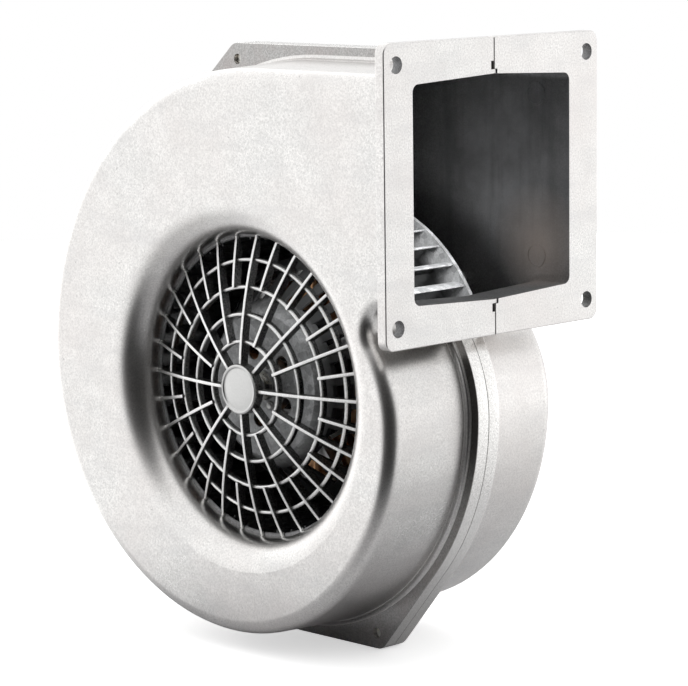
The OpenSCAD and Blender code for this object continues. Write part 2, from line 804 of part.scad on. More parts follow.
module stator_screws() {
    z = stack_front + bracket_ring_t;
    color(steel) at_fan_axis() ring_of(screw_slots, slot_a) translate([stator_screw_pcr, 0, z])
        pan_screw(stator_screw_d, z - diaphragm_back - 2);
}

// --- motor flange and electronics ----------------------------------------------------------
cup_in_r = motor_spigot_r - 3;
cup_mouth_r = cup_in_r - 2;
post_r = 3;
post_pcr = board_r - 5;
post_hole_d = 2.5;
post_grip = 6;
cover_screw_d = 3;
cover_screw_pcr = cover_r - cover_screw_d;

// The seal lies in a groove of the motor flange, level with its face
gasket_t = 1.2;
gasket_w = 2;
gasket_r = motor_screw_pcr - motor_screw_d / 2 - 1.2;

module motor_flange() {
    seat_z = rear_bearing_z - 1;
    front = diaphragm_back + diaphragm_t;
    color(aluminium) at_fan_axis() difference() {
        union() {
            tube(motor_flange_r, cup_mouth_r, flange_out, flange_in);
            tube(motor_spigot_r, cup_in_r, flange_in - cut, diaphragm_back + cut);
            tube(motor_spigot_r, bearing_r - 1, diaphragm_back, front);
            tube(motor_spigot_r, yoke_in + 1.2, diaphragm_back, stack_back);
            tube(bearing_r + 3.5, bearing_r - 1, seat_z, diaphragm_back + cut);
            ring_of(3, 30) translate([post_pcr, 0, board_front])
                cylinder(r = post_r, h = diaphragm_back + cut - board_front);
        }
        translate([0, 0, seat_z - cut])
            cylinder(r = bearing_r, h = rear_bearing_z + bearing_w - seat_z + cut);
        ring_of(4, 45) translate([motor_screw_pcr, 0, flange_out - cut])
            cylinder(d = motor_screw_d + 2 * fit, h = motor_flange_t + 2 * cut);
        ring_of(3, 30) translate([post_pcr, 0, board_front - cut])
            cylinder(d = post_hole_d + 2 * seat, h = post_grip + 1 + cut);
        ring_of(3, 75) translate([cover_screw_pcr, 0, flange_out - cut])
            cylinder(d = cover_screw_d + 2 * seat, h = motor_flange_t - 0.5 + cut);
        tube(gasket_r + fit, gasket_r - gasket_w - fit, flange_in - gasket_t, flange_in + cut);
        ring_of(screw_slots, slot_a) translate([stator_screw_pcr, 0, diaphragm_back + 1])
            cylinder(d = stator_screw_d + 2 * seat, h = stack_back - diaphragm_back);
    }
}

module motor_gasket() {
    color(dark_plastic) at_fan_axis()
        tube(gasket_r, gasket_r - gasket_w, flange_in - gasket_t, flange_in);
}

module motor_screws() {
    color(steel) at_fan_axis() ring_of(4, 45) translate([motor_screw_pcr, 0, flange_out])
        mirror([0, 0, 1]) pan_screw(motor_screw_d, motor_flange_t + wall + boss_h - 1);
}

module circuit_board() {
    color([0.10, 0.30, 0.16]) at_fan_axis() difference() {
        translate([0, 0, board_front - board_t]) cylinder(r = board_r, h = board_t);
        ring_of(3, 30) translate([post_pcr, 0, board_front - board_t - cut])
            cylinder(d = post_hole_d + 2 * fit, h = board_t + 2 * cut);
    }
}

capacitor_r = 4.2;
capacitor_h = 8;
chip_w = 9;
chip_t = 2.4;
sensor_w = 4;
sensor_h = 4.5;
module board_components() {
    color([0.16, 0.16, 0.18]) at_fan_axis() translate([0, 0, board_front]) {
        for (i = [-1 : 1]) translate([(2 * capacitor_r + 2.6) * i, 0.68 * board_r, 0])
            cylinder(r = capacitor_r, h = capacitor_h);
        for (i = [-2 : 0]) translate([0.55 * board_r, (chip_w + 1) * i, 0])
            cube([chip_w - 3, chip_w - 1, chip_t]);
        translate([-0.78 * board_r, -chip_w, 0]) cube([chip_w, chip_w, chip_t - 1]);
        for (a = [-60, -90, -120]) rotate(a) translate([0.48 * board_r, -sensor_w / 2, 0])
            cube([sensor_w - 1, sensor_w, sensor_h]);
    }
}

module board_screws() {
    color(steel) at_fan_axis() ring_of(3, 30) translate([post_pcr, 0, board_front - board_t])
        mirror([0, 0, 1]) pan_screw(post_hole_d, board_t + post_grip);
}

grommet_y = -28;
grommet_r = cable_d / 2 + 2;
grommet_lip = 2;
module electronics_cover() {
    color(dark_plastic) at_fan_axis() difference() {
        union() {
            translate([0, 0, flange_out - cover_t]) cylinder(r = cover_r, h = cover_t);
            tube(cup_mouth_r - fit, cup_mouth_r - 2, flange_out - cut, flange_out + 2);
        }
        translate([0, grommet_y, flange_out - cover_t - cut])
            cylinder(r = grommet_r + seat, h = cover_t + 2 * cut);
        ring_of(3, 75) translate([cover_screw_pcr, 0, flange_out - cover_t - cut])
            cylinder(d = cover_screw_d + 2 * fit, h = cover_t + 2 * cut);
    }
}

module cover_screws() {
    color(steel) at_fan_axis() ring_of(3, 75) translate([cover_screw_pcr, 0, flange_out - cover_t])
        mirror([0, 0, 1]) pan_screw(cover_screw_d, cover_t + motor_flange_t - 1);
}

module cable_grommet() {
    color([0.08, 0.08, 0.08]) at_fan_axis() translate([0, grommet_y, 0]) difference() {
        union() {
            translate([0, 0, flange_out - cover_t - grommet_lip])
                cylinder(r = grommet_r + 2, h = grommet_lip);
            translate([0, 0, flange_out - cover_t - cut]) cylinder(r = grommet_r, h = cover_t + cut);
            translate([0, 0, flange_out]) cylinder(r1 = grommet_r + 1.2, r2 = grommet_r, h = 1.5);
        }
        translate([0, 0, flange_out - cover_t - grommet_lip - cut])
            cylinder(d = cable_d, h = cover_t + grommet_lip + 1.5 + 2 * cut);
    }
}

front_housing();
rear_housing();
housing_screws();
inlet_guard();
impeller_blades();
impeller_front_ring();
impeller_back_ring();
impeller_hub_plate();
hub_bush();
hub_rivets();
motor_shaft();
retaining_rings();
rotor_core();
rotor_magnets();
bearing_inner_races();
bearing_balls();
bearing_outer_races();
preload_washer();
front_bearing_bracket();
stator_core();
stator_insulators();
stator_windings();
stator_screws();
motor_flange();
motor_gasket();
motor_screws();
circuit_board();
board_components();
board_screws();
electronics_cover();
cover_screws();
cable_grommet();
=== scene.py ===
import json
import math
from types import SimpleNamespace

import bmesh
import bpy
from bpy.props import FloatProperty, FloatVectorProperty, IntProperty, PointerProperty
from mathutils import Matrix, Vector

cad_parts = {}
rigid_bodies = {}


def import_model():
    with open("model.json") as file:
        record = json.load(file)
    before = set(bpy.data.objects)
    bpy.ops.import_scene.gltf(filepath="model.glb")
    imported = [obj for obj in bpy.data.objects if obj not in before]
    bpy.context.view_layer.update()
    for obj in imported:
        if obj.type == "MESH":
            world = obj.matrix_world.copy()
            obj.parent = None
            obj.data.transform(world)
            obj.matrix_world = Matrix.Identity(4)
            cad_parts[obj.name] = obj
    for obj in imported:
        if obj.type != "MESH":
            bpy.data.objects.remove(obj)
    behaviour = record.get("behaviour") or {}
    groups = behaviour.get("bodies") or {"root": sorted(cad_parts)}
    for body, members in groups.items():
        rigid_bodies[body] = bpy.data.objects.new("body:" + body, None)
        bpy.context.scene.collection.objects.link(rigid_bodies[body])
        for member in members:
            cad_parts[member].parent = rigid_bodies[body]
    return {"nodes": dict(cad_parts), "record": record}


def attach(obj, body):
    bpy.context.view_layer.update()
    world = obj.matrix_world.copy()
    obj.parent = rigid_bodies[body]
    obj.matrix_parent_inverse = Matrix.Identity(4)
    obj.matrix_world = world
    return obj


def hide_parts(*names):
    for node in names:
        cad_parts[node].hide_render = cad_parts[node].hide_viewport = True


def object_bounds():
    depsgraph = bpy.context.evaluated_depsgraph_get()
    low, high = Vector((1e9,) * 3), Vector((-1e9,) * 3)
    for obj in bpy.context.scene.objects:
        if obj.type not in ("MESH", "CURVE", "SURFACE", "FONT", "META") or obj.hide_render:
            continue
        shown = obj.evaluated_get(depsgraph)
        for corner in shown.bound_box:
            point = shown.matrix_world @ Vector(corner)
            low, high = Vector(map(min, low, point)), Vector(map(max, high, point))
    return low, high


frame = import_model()
CAD_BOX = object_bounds()

bl_info = {
    "name": "Centrifugal blower",
    "version": (1, 0, 0),
    "blender": (4, 5, 0),
    "location": "View3D > Sidebar > Blower",
    "description": "Dresses the scroll castings, inlet guard, impeller and motor of a blower",
    "category": "Object",
}

# The shapes are modelled in millimetres about the fan axis, seen from the inlet: x to the
# outlet, y up, z out of the inlet and z = 0 on the seam. The last step of each piece sets it
# into the frame, whose origin is the centre of the outlet flange's face.
MM = 0.001
ARC_STEP = 3.0  # degrees
EDGE_STEPS = 8
SMOOTH = math.radians(32)
PAST = 40  # the duct is modelled this far past the outlet face and cut off there
BOLT_R, BOLT_UP, BOLT_OUT = 3.2, 48, 52.5  # hole, and its place from the middle of the flange
SCREW_HOLE_R = 2.05
BOSS_AT, BOSS_R = 52, 4.5  # motor screw bosses, from the fan axis
LIP, REBATE = 1.5, 1.7  # height of the locating lip, and depth of the rebate that takes it
NOTCH_H = 3.2  # the lip's ends, seen as notches in the outlet flange
THROAT_L = 2.5  # straight throat behind the bell mouth


def millimetres(name, description, default, low, high):
    """A length that the panel shows and that the modelling reads in millimetres."""
    return FloatProperty(name=name, description=description, default=default * MM,
                         min=low * MM, max=high * MM, subtype="DISTANCE", unit="LENGTH")


class CastingSizes(bpy.types.PropertyGroup):
    """Sizes of the two scroll castings."""
    scroll_r: millimetres("Scroll radius", "Largest arc of the scroll", 120.25, 112, 126)
    step: millimetres("Scroll step", "Radius lost from one quarter to the next", 13.5, 11, 15)
    tongue_r: millimetres("Tongue radius", "Last arc before the valley", 53, 48, 56)
    valley_r: millimetres("Valley radius", "Outside valley under the duct", 7, 6, 9)
    duct_h: millimetres("Duct height", "Outlet duct over its walls", 90.75, 86, 94)
    front_depth: millimetres("Inlet half depth", "Seam to the inlet face", 47, 45, 50)
    rear_depth: millimetres("Motor half depth", "Seam to the motor face", 45.5, 44, 50)
    wall: millimetres("Wall", "Thickness of the castings", 3, 2, 4)
    edge_r: millimetres("Edge radius", "Outside rounding of the faces", 6, 5, 8)
    seam_t: millimetres("Seam flange", "Thickness of each half's seam flange", 6, 4, 8)
    seam_out: millimetres("Seam stand-out", "Seam flange beyond the wall", 5, 4, 7)
    ear_r: millimetres("Ear radius", "Ears that carry the screws", 6.5, 6, 8)
    throat_r: millimetres("Throat radius", "Narrowest part of the inlet", 60, 58, 61)
    bell_r: millimetres("Bell mouth radius", "Rounding of the inlet", 12.5, 10, 13)
    outlet_x: millimetres("Outlet distance", "Fan axis to the outlet face", 95, 92, 110)
    flange_w: millimetres("Flange width", "Outlet flange, across", 118, 114, 130)
    flange_h: millimetres("Flange height", "Outlet flange, up", 112, 109, 124)
    flange_t: millimetres("Flange thickness", "Outlet flange", 4.5, 3.5, 7)


class GuardSizes(bpy.types.PropertyGroup):
    """Sizes of the inlet guard."""
    dome_r: millimetres("Dome radius", "Sphere that the bars follow", 175, 150, 220)
    hub_r: millimetres("Hub radius", "Centre disc", 10, 8, 12)
    first_ring: millimetres("First ring", "Radius of the smallest ring", 18.5, 17, 20)
    ring_pitch: millimetres("Ring pitch", "From one ring to the next", 10.5, 9.5, 11)
    bar_w: millimetres("Bar width", "Width of bars and rings", 1.4, 1, 2)
    bar_depth: millimetres("Bar depth", "Depth along the axis", 4, 3, 5)
    bars: IntProperty(name="Bars", description="Bars that reach the rim", default=32,
                      min=16, max=40, step=8)


class WheelSizes(bpy.types.PropertyGroup):
    """Sizes of the impeller."""
    wheel_r: millimetres("Wheel radius", "Outside of the rings", 70, 60, 76)
    curve_r: millimetres("Blade curve", "Radius that each blade is rolled to", 12, 10, 16)
    blade_t: millimetres("Blade sheet", "Thickness of a blade", 0.8, 0.6, 1.2)
    ring_w: millimetres("Ring width", "Front ring, from edge to edge", 5.5, 4, 7)
    foot: millimetres("Blade foot", "Height where the blades start", -23.2, -26, -20)
    front: millimetres("Blade front", "Height where the blades end", 31, 28, 33)
    blade_start: FloatProperty(name="First blade", description="Turn of the first blade",
                               default=6.2, min=0, max=8)
    blades: IntProperty(name="Blades", description="Blades round the wheel", default=44,
                        min=32, max=52)


class ScrewSizes(bpy.types.PropertyGroup):
    """Sizes and places of the screws."""
    housing_d: millimetres("Housing screw", "Thread diameter at the ears", 4, 3, 5)
    motor_d: millimetres("Motor screw", "Thread diameter at the motor flange", 4, 3, 5)
    cover_d: millimetres("Cover screw", "Thread diameter at the cover", 3, 2.5, 4)
    motor_pcr: millimetres("Motor screw circle", "Fan axis to a motor screw", 52, 48, 56)
    cover_pcr: millimetres("Cover screw circle", "Fan axis to a cover screw", 44.5, 40, 47)


def colour(name, description, default):
    return FloatVectorProperty(name=name, description=description, default=default,
                               subtype="COLOR", size=3, min=0, max=1)


class Finishes(bpy.types.PropertyGroup):
    """Colours of the finishes."""
    casting: colour("Blasted casting", "Outside of the scroll castings", (0.80, 0.79, 0.775))
    # The duct colour is a dark copy of the casting: painted shade inside the scroll, in the
    # bolt holes and at the guard's rim.
    duct: colour("Raw casting", "Dark skin inside the scroll", (0.34, 0.34, 0.345))
    guard: colour("Guard", "Bright inlet guard", (0.86, 0.86, 0.85))
    sheet: colour("Galvanised sheet", "Impeller", (0.40, 0.405, 0.41))
    machined: colour("Machined aluminium", "Motor flange and bracket", (0.66, 0.66, 0.655))
    steel: colour("Steel", "Shaft, bush, bearings and rings", (0.50, 0.50, 0.50))
    zinc: colour("Zinc plating", "Screws", (0.62, 0.62, 0.60))
    lamination: colour("Laminations", "Stator and rotor sheets", (0.20, 0.20, 0.21))
    ferrite: colour("Ferrite", "Rotor magnets", (0.055, 0.053, 0.052))
    copper: colour("Copper", "Windings", (0.60, 0.27, 0.11))
    insulator: colour("Insulator", "Slot insulators of the stator", (0.62, 0.58, 0.50))
    plastic: colour("Black plastic", "Electronics cover", (0.03, 0.03, 0.032))
    rubber: colour("Rubber", "Seal and grommet", (0.018, 0.018, 0.018))
    board: colour("Board", "Circuit board", (0.02, 0.11, 0.05))


# --- modelling helpers ---
def deselect():
    bpy.ops.object.select_all(action="DESELECT")


def make_active(obj):
    deselect()
    obj.select_set(True)
    bpy.context.view_layer.objects.active = obj


def put(name, data):
    """A new object in the scene for a mesh, lamp or camera."""
    obj = bpy.data.objects.new(name, data)
    bpy.context.scene.collection.objects.link(obj)
    return obj


def start(name, add, **settings):
    """Adds a primitive with nothing else selected and returns its object."""
    deselect()
    add(**settings)
    obj = bpy.context.active_object
    obj.name = obj.data.name = name
    return obj


def edit(obj):
    """Opens a mesh with all of it selected."""
    make_active(obj)
    bpy.ops.object.mode_set(mode="EDIT")
    bpy.ops.mesh.select_all(action="SELECT")


def leave():
    bpy.ops.object.mode_set(mode="OBJECT")


def outline(name, points, z=0.0, filled=True):
    """A flat face, or its edges alone, through the points."""
    obj = start(name, bpy.ops.mesh.primitive_circle_add, vertices=len(points), radius=1,
                fill_type="NGON" if filled else "NOTHING")
    for vertex, (x, y) in zip(obj.data.vertices, points):
        vertex.co = (x, y, z)
    return obj


def close_up(obj):
    """Merges doubles and turns every face outwards."""
    edit(obj)
    bpy.ops.mesh.remove_doubles(threshold=0.0005)
    bpy.ops.mesh.normals_make_consistent(inside=False)
    leave()
    return obj


def prism(name, points, z0, z1):
    """A solid between two levels."""
    obj = outline(name, points, z0)
    edit(obj)
    bpy.ops.mesh.extrude_region_move(TRANSFORM_OT_translate={"value": (0, 0, z1 - z0)})
    leave()
    return close_up(obj)


def raised(name, points, under, rings):
    """A solid whose face is raised from -under to 0, then inset step by step, (inwards, up)."""
    obj = outline(name, points, -under)
    edit(obj)
    bpy.ops.mesh.normals_make_consistent(inside=False)
    mesh = bmesh.from_edit_mesh(obj.data)
    mesh.faces.ensure_lookup_table()
    if mesh.faces[0].normal.z < 0:
        bpy.ops.mesh.flip_normals()
    bpy.ops.mesh.extrude_region_move(TRANSFORM_OT_translate={"value": (0, 0, under)})
    for inwards, up in rings:
        bpy.ops.mesh.inset(thickness=inwards, depth=up, use_boundary=True,
                           use_even_offset=True)
    leave()
    return close_up(obj)


def turned(name, profile, steps=96):
    """A closed profile of (radius, z), spun about the fan axis."""
    obj = outline(name, profile, filled=False)
    for vertex in obj.data.vertices:
        vertex.co = (vertex.co.x, 0, vertex.co.y)
    edit(obj)
    bpy.ops.mesh.spin(steps=steps, angle=2 * math.pi, center=(0, 0, 0), axis=(0, 0, 1))
    leave()
    return close_up(obj)


def apply_modifier(obj, kind, **settings):
    make_active(obj)
    modifier = obj.modifiers.new(kind.title(), kind)
    for key, value in settings.items():
        setattr(modifier, key, value)
    bpy.ops.object.modifier_apply(modifier=modifier.name)
    return obj


def bevel(obj, width, segments=2, angle=35):
    return apply_modifier(obj, "BEVEL", width=width, segments=segments, limit_method="ANGLE",
                          angle_limit=math.radians(angle), harden_normals=False)


def combine(obj, other, how):
    """Adds, cuts or intersects with another solid, which is used up.

    Each face keeps its finish, and a bare solid takes the finish of the first."""
    if obj.data.materials and not other.data.materials:
        other.data.materials.append(obj.data.materials[0])
    apply_modifier(obj, "BOOLEAN", operation=how, object=other, solver="EXACT",
                   material_mode="TRANSFER")
    bpy.data.objects.remove(other)
    return obj


def move(obj, matrix):
    obj.data.transform(matrix)
    if matrix.determinant() < 0:
        obj.data.flip_normals()
    return obj


def copies(obj, matrices):
    """Joins one moved copy per matrix, each with its own mesh, and uses up the first."""
    made = []
    for matrix in matrices:
        made.append(move(put(obj.name, obj.data.copy()), matrix))
    bpy.data.objects.remove(obj)
    return join(made)


def join(objects):
    deselect()
    for obj in objects:
        obj.select_set(True)
    bpy.context.view_layer.objects.active = objects[0]
    if len(objects) > 1:
        bpy.ops.object.join()
    return bpy.context.active_object


def turn(degrees, axis="Z"):
    return Matrix.Rotation(math.radians(degrees), 4, axis)


def shift(x, y, z):
    return Matrix.Translation((x, y, z))


def polar(centre, r, degrees):
    a = math.radians(degrees)
    return (centre[0] + r * math.cos(a), centre[1] + r * math.sin(a))


def arc(centre, r, a0, a1, step=ARC_STEP):
    n = max(1, math.ceil(abs(a1 - a0) / step))
    return [polar(centre, r, a0 + (a1 - a0) * i / n) for i in range(n + 1)]


def in_mm(group, names):
    """The named lengths of a group, in millimetres."""
    return SimpleNamespace(**{name: getattr(group, name) / MM for name in names.split()})


def stand_for(obj, body, material, nodes):
    """Gives a piece its material, unless it has its own, sets it on its body and hides the
    nodes that it stands for.
    """
    if material:
        obj.data.materials.clear()
        obj.data.materials.append(material)
    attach(obj, body)
    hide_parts(*nodes)


def smooth(obj):
    make_active(obj)
    bpy.ops.object.shade_smooth_by_angle(angle=SMOOTH)


def finish_piece(obj, name, body, material, nodes):
    """Sets a piece into the frame, shades it, sets it on its body and hides the nodes that it
    stands for.
    """
    p = Plan()
    obj.name = obj.data.name = name
    obj.data.transform(Matrix.Scale(MM, 4) @ shift(-p.outlet_x, 0, -p.flange_y)
                       @ turn(90, "X"))
    smooth(obj)
    apply_modifier(obj, "WEIGHTED_NORMAL", keep_sharp=True, weight=100)
    stand_for(obj, body, material, nodes)


# --- plan of the scroll ---
class Plan:
    """The scroll seen from the inlet: four arcs, the tongue, the valley and the duct."""

    def __init__(self):
        sizes = in_mm(bpy.context.scene.blower_castings,
                      "scroll_r step tongue_r valley_r duct_h front_depth rear_depth wall "
                      "edge_r seam_t seam_out ear_r throat_r bell_r outlet_x flange_w "
                      "flange_h flange_t")
        self.__dict__.update(vars(sizes))
        half = self.step / 2
        self.half = half
        self.ul, self.ll, self.lr = (half, half), (-half, half), (-half, -half)
        self.ul_r = self.scroll_r
        self.ll_r = self.ul_r - self.step
        self.lr_r = self.ll_r - self.step
        self.right = self.lr_r - half
        self.top = self.ul_r + half
        self.bottom = half - self.ll_r
        self.ur = (self.right - self.tongue_r, -half)
        self.floor = self.top - self.duct_h
        valley_y = self.floor - self.valley_r
        reach = self.tongue_r + self.valley_r
        rise = valley_y + half
        self.valley = (self.ur[0] + math.sqrt(reach ** 2 - rise ** 2), valley_y)
        self.tongue_a = math.degrees(math.asin(rise / reach))
        self.flange_y = (self.top + self.floor) / 2
        self.flange_back = self.outlet_x - self.flange_t
        self.flange_low = self.flange_y - self.flange_h / 2
        out = self.seam_out
        self.ears = [(-38.75, self.top + out - self.ear_r),
                     polar(self.ul, self.ul_r + out + 1.5, 158),
                     polar(self.ll, self.ll_r + out + 1.5, 222),
                     (36.25, self.bottom - out + self.ear_r)]

    def wall_line(self, off, end_x):
        """The wall's line, moved outwards by off and ended at end_x."""
        return (arc(self.ur, self.tongue_r + off, 0, self.tongue_a)
                + arc(self.valley, self.valley_r - off, 180 + self.tongue_a, 90, 9)[1:]
                + [(end_x, self.floor - off), (end_x, self.top + off)]
                + arc(self.ul, self.ul_r + off, 90, 180)
                + arc(self.ll, self.ll_r + off, 180, 270)[1:]
                + arc(self.lr, self.lr_r + off, 270, 360)[1:-1])

    def seam_line(self):
        """The seam flange with its four ears and the web that fills the valley."""
        out, ear_r = self.seam_out, self.ear_r
        ul, ll, lr = self.ul_r + out, self.ll_r + out, self.lr_r + out

        def tangent(r, apart):
            return math.degrees(math.acos((r - ear_r) / apart))

        def direction(a, b):
            return math.degrees(math.atan2(b[1] - a[1], b[0] - a[0]))

        def bump(centre, r, a0, a1, at):
            half = tangent(r, r + 1.5)
            return (arc(centre, r, a0, at - half)
                    + arc(polar(centre, r + 1.5, at), ear_r, at - half, at + half)[1:-1]
                    + arc(centre, r, at + half, a1))

        upper, lower = self.ears[0], self.ears[3]
        up_a = direction(self.ul, upper) + tangent(ul, math.dist(self.ul, upper))
        low_a = 360 + direction(self.lr, lower) + tangent(lr, math.dist(self.lr, lower))
        web_a = math.degrees(math.asin((self.flange_low + self.half) / (self.tongue_r + out)))
        x = self.flange_back + 1
        return (arc(self.ur, self.tongue_r + out, 0, web_a)
                + [(x, self.flange_low), (x, self.top + out)]
                + arc(upper, ear_r, 90, up_a)
                + bump(self.ul, ul, up_a, 180, 158)
                + bump(self.ll, ll, 180, 270, 222)[1:]
                + arc(lower, ear_r, 270, low_a)
                + arc(self.lr, lr, low_a, 360)[:-1])


def wall_rings(depth, edge_r, draft=0.044):
    """The steps of a drafted wall and its rounded edge, as (inwards, up)."""
    rise = depth - edge_r
    marks = [(edge_r * (1 - math.cos(t)), edge_r * math.sin(t))
             for t in (math.pi / 2 * i / EDGE_STEPS for i in range(EDGE_STEPS + 1))]
    return [(draft * rise, rise)] + [(b[0] - a[0], b[1] - a[1])
                                     for a, b in zip(marks, marks[1:])]


def drill(obj, r, a, b, low, high, along="z", material=None):
    """Cuts a round hole from low to high, along z at (x, y) = (a, b) or along x at (y, z)."""
    cutter = start("drill", bpy.ops.mesh.primitive_cylinder_add, vertices=48, radius=r,
                   depth=abs(high - low))
    if along == "z":
        move(cutter, shift(a, b, (low + high) / 2))
    else:
        move(cutter, shift((low + high) / 2, a, b) @ turn(90, "Y"))
    if material:
        cutter.data.materials.append(material)
    return combine(obj, cutter, "DIFFERENCE")


def half_casting(name, p, depth, front):
    """One casting above the seam: scroll, duct, seam flange and outlet flange."""
    shell = raised(name, p.wall_line(0, p.outlet_x + PAST), 0.01, wall_rings(depth, p.edge_r))
    shell.data.materials.append(casting_material())
    edit(shell)
    bpy.ops.mesh.bisect(plane_co=(p.outlet_x - 1, 0, 0), plane_no=(1, 0, 0),
                        clear_outer=True, use_fill=True)
    leave()
    seam = bevel(prism("seam flange", p.seam_line(), 0, p.seam_t), 0.5, 2, 60)
    # The seam flange's material paints shade on its faces that look to the inlet side.
    seam.data.materials.append(seam_material())
    combine(shell, seam, "UNION")
    foot = raised("foot fillet", p.wall_line(1.5, p.flange_back + 1), 1,
                  [(0.75, 0.1), (0.45, 0.35), (0.25, 0.55), (0.12, 0.75), (0.08, 0.9)])
    combine(shell, move(foot, shift(0, 0, p.seam_t)), "UNION")
    w, k = p.flange_w / 2, 4
    low, high = p.flange_low, p.flange_low + p.flange_h
    plate = prism("outlet flange", [(low, 0), (high, 0)] + arc((high - k, w - k), k, 0, 90, 9)
                  + arc((low + k, w - k), k, 90, 180, 9), 0, p.flange_t)
    # The prism's x is up and its y is out of the inlet
    move(plate, shift(p.flange_back, 0, 0) @ Matrix(((0, 0, 1, 0), (1, 0, 0, 0), (0, 1, 0, 0),
                                                     (0, 0, 0, 1))))
    bevel(plate, 0.5, 3, 60)
    combine(shell, plate, "UNION")
    if front:
        combine(shell, prism("lip", p.wall_line(LIP - p.wall, p.outlet_x - 0.5), -LIP, 1),
                "UNION")
    cavity = raised("cavity", p.wall_line(-p.wall, p.outlet_x + PAST), 3,
                    wall_rings(depth - p.wall, p.edge_r - p.wall))
    # The cavity's walls take the duct's dark colour: painted shade.
    cavity.data.materials.append(duct_shade_material())
    combine(shell, cavity, "DIFFERENCE")
    # The bolt holes' walls take the duct's dark colour: painted shade.
    for y in (p.flange_y - BOLT_UP, p.flange_y + BOLT_UP):
        drill(shell, BOLT_R, y, BOLT_OUT, p.flange_back - 1, p.outlet_x + 1, "x",
              duct_shade_material())
    for x, y in p.ears:
        drill(shell, SCREW_HOLE_R, x, y, -1, p.seam_t + 1)
    return shell


class BLOWER_OT_front_casting(bpy.types.Operator):
    """Models the inlet half of the scroll with its bell mouth and locating lip"""
    bl_idname = "blower.front_casting"
    bl_label = "Inlet half"

    def execute(self, context):
        p = Plan()
        shell = half_casting("front_casting", p, p.front_depth, True)
        inner = p.bell_r - p.wall
        edge, end = p.throat_r + p.bell_r, p.front_depth - p.bell_r

        def rounding(r, degrees, steps):
            return [(edge - r * math.cos(t), end + r * math.sin(t))
                    for t in (math.radians(degrees) * i / steps for i in range(steps + 1))]

        blank = turned("bell blank", [
            (p.throat_r - 1, end - THROAT_L), (p.throat_r + 2.5, end - THROAT_L),
            *rounding(inner, 90, 12), (edge + 1, end + inner), (edge + 1, p.front_depth - 0.3),
            (p.throat_r - 1, p.front_depth - 0.3)], 128)
        combine(shell, blank, "UNION")
        air = turned("bell air", [
            (0, end - 6), (p.throat_r, end - 6), *rounding(p.bell_r, 88, 16),
            (edge, p.front_depth + 0.03), (edge, p.front_depth + 6),
            (0, p.front_depth + 6)], 128)
        combine(shell, air, "DIFFERENCE")
        for y in (p.top - LIP, p.floor + LIP - NOTCH_H):
            notch = start("notch", bpy.ops.mesh.primitive_cube_add, size=1)
            move(notch, shift(p.outlet_x - 2, y + NOTCH_H / 2, -0.15)
                 @ Matrix.Diagonal((7, NOTCH_H, 3.7, 1)))
            combine(shell, notch, "DIFFERENCE")
        close_up(shell)
        finish_piece(shell, "front_casting", "casing", None,
                     ["front_housing"])
        return {"FINISHED"}


class BLOWER_OT_rear_casting(bpy.types.Operator):
    """Models the motor half of the scroll with its screw bosses and ejector marks"""
    bl_idname = "blower.rear_casting"
    bl_label = "Motor half"

    def execute(self, context):
        p = Plan()
        shell = half_casting("rear_casting", p, p.rear_depth, False)
        rebate = prism("rebate", p.wall_line(REBATE - p.wall, p.outlet_x + 1), -1, REBATE)
        combine(shell, rebate, "DIFFERENCE")
        inside = p.rear_depth - p.wall
        for i in range(4):
            x, y = polar((0, 0), BOSS_AT, 45 + 90 * i)
            boss = start("boss", bpy.ops.mesh.primitive_cylinder_add, vertices=48,
                         radius=BOSS_R, depth=8)
            combine(shell, move(boss, shift(x, y, inside - 2)), "UNION")
            drill(shell, SCREW_HOLE_R, x, y, inside - 8, p.rear_depth + 1)
        for y in (p.top - 13.5, p.floor + 14.25):
            mark = turned("ejector mark", [(4.1, inside - 0.35), (4.7, inside - 0.35),
                                           (4.9, inside + 1), (3.9, inside + 1)], 48)
            mark.data.materials.append(duct_shade_material())
            combine(shell, move(mark, shift(p.outlet_x - 17, y, 0)), "UNION")
        drill(shell, 45.6, 0, 0, inside - 2, p.rear_depth + 2)
        move(shell, Matrix.Diagonal((1, 1, -1, 1)))
        close_up(shell)
        finish_piece(shell, "rear_casting", "casing", None,
                     ["rear_housing"])
        return {"FINISHED"}


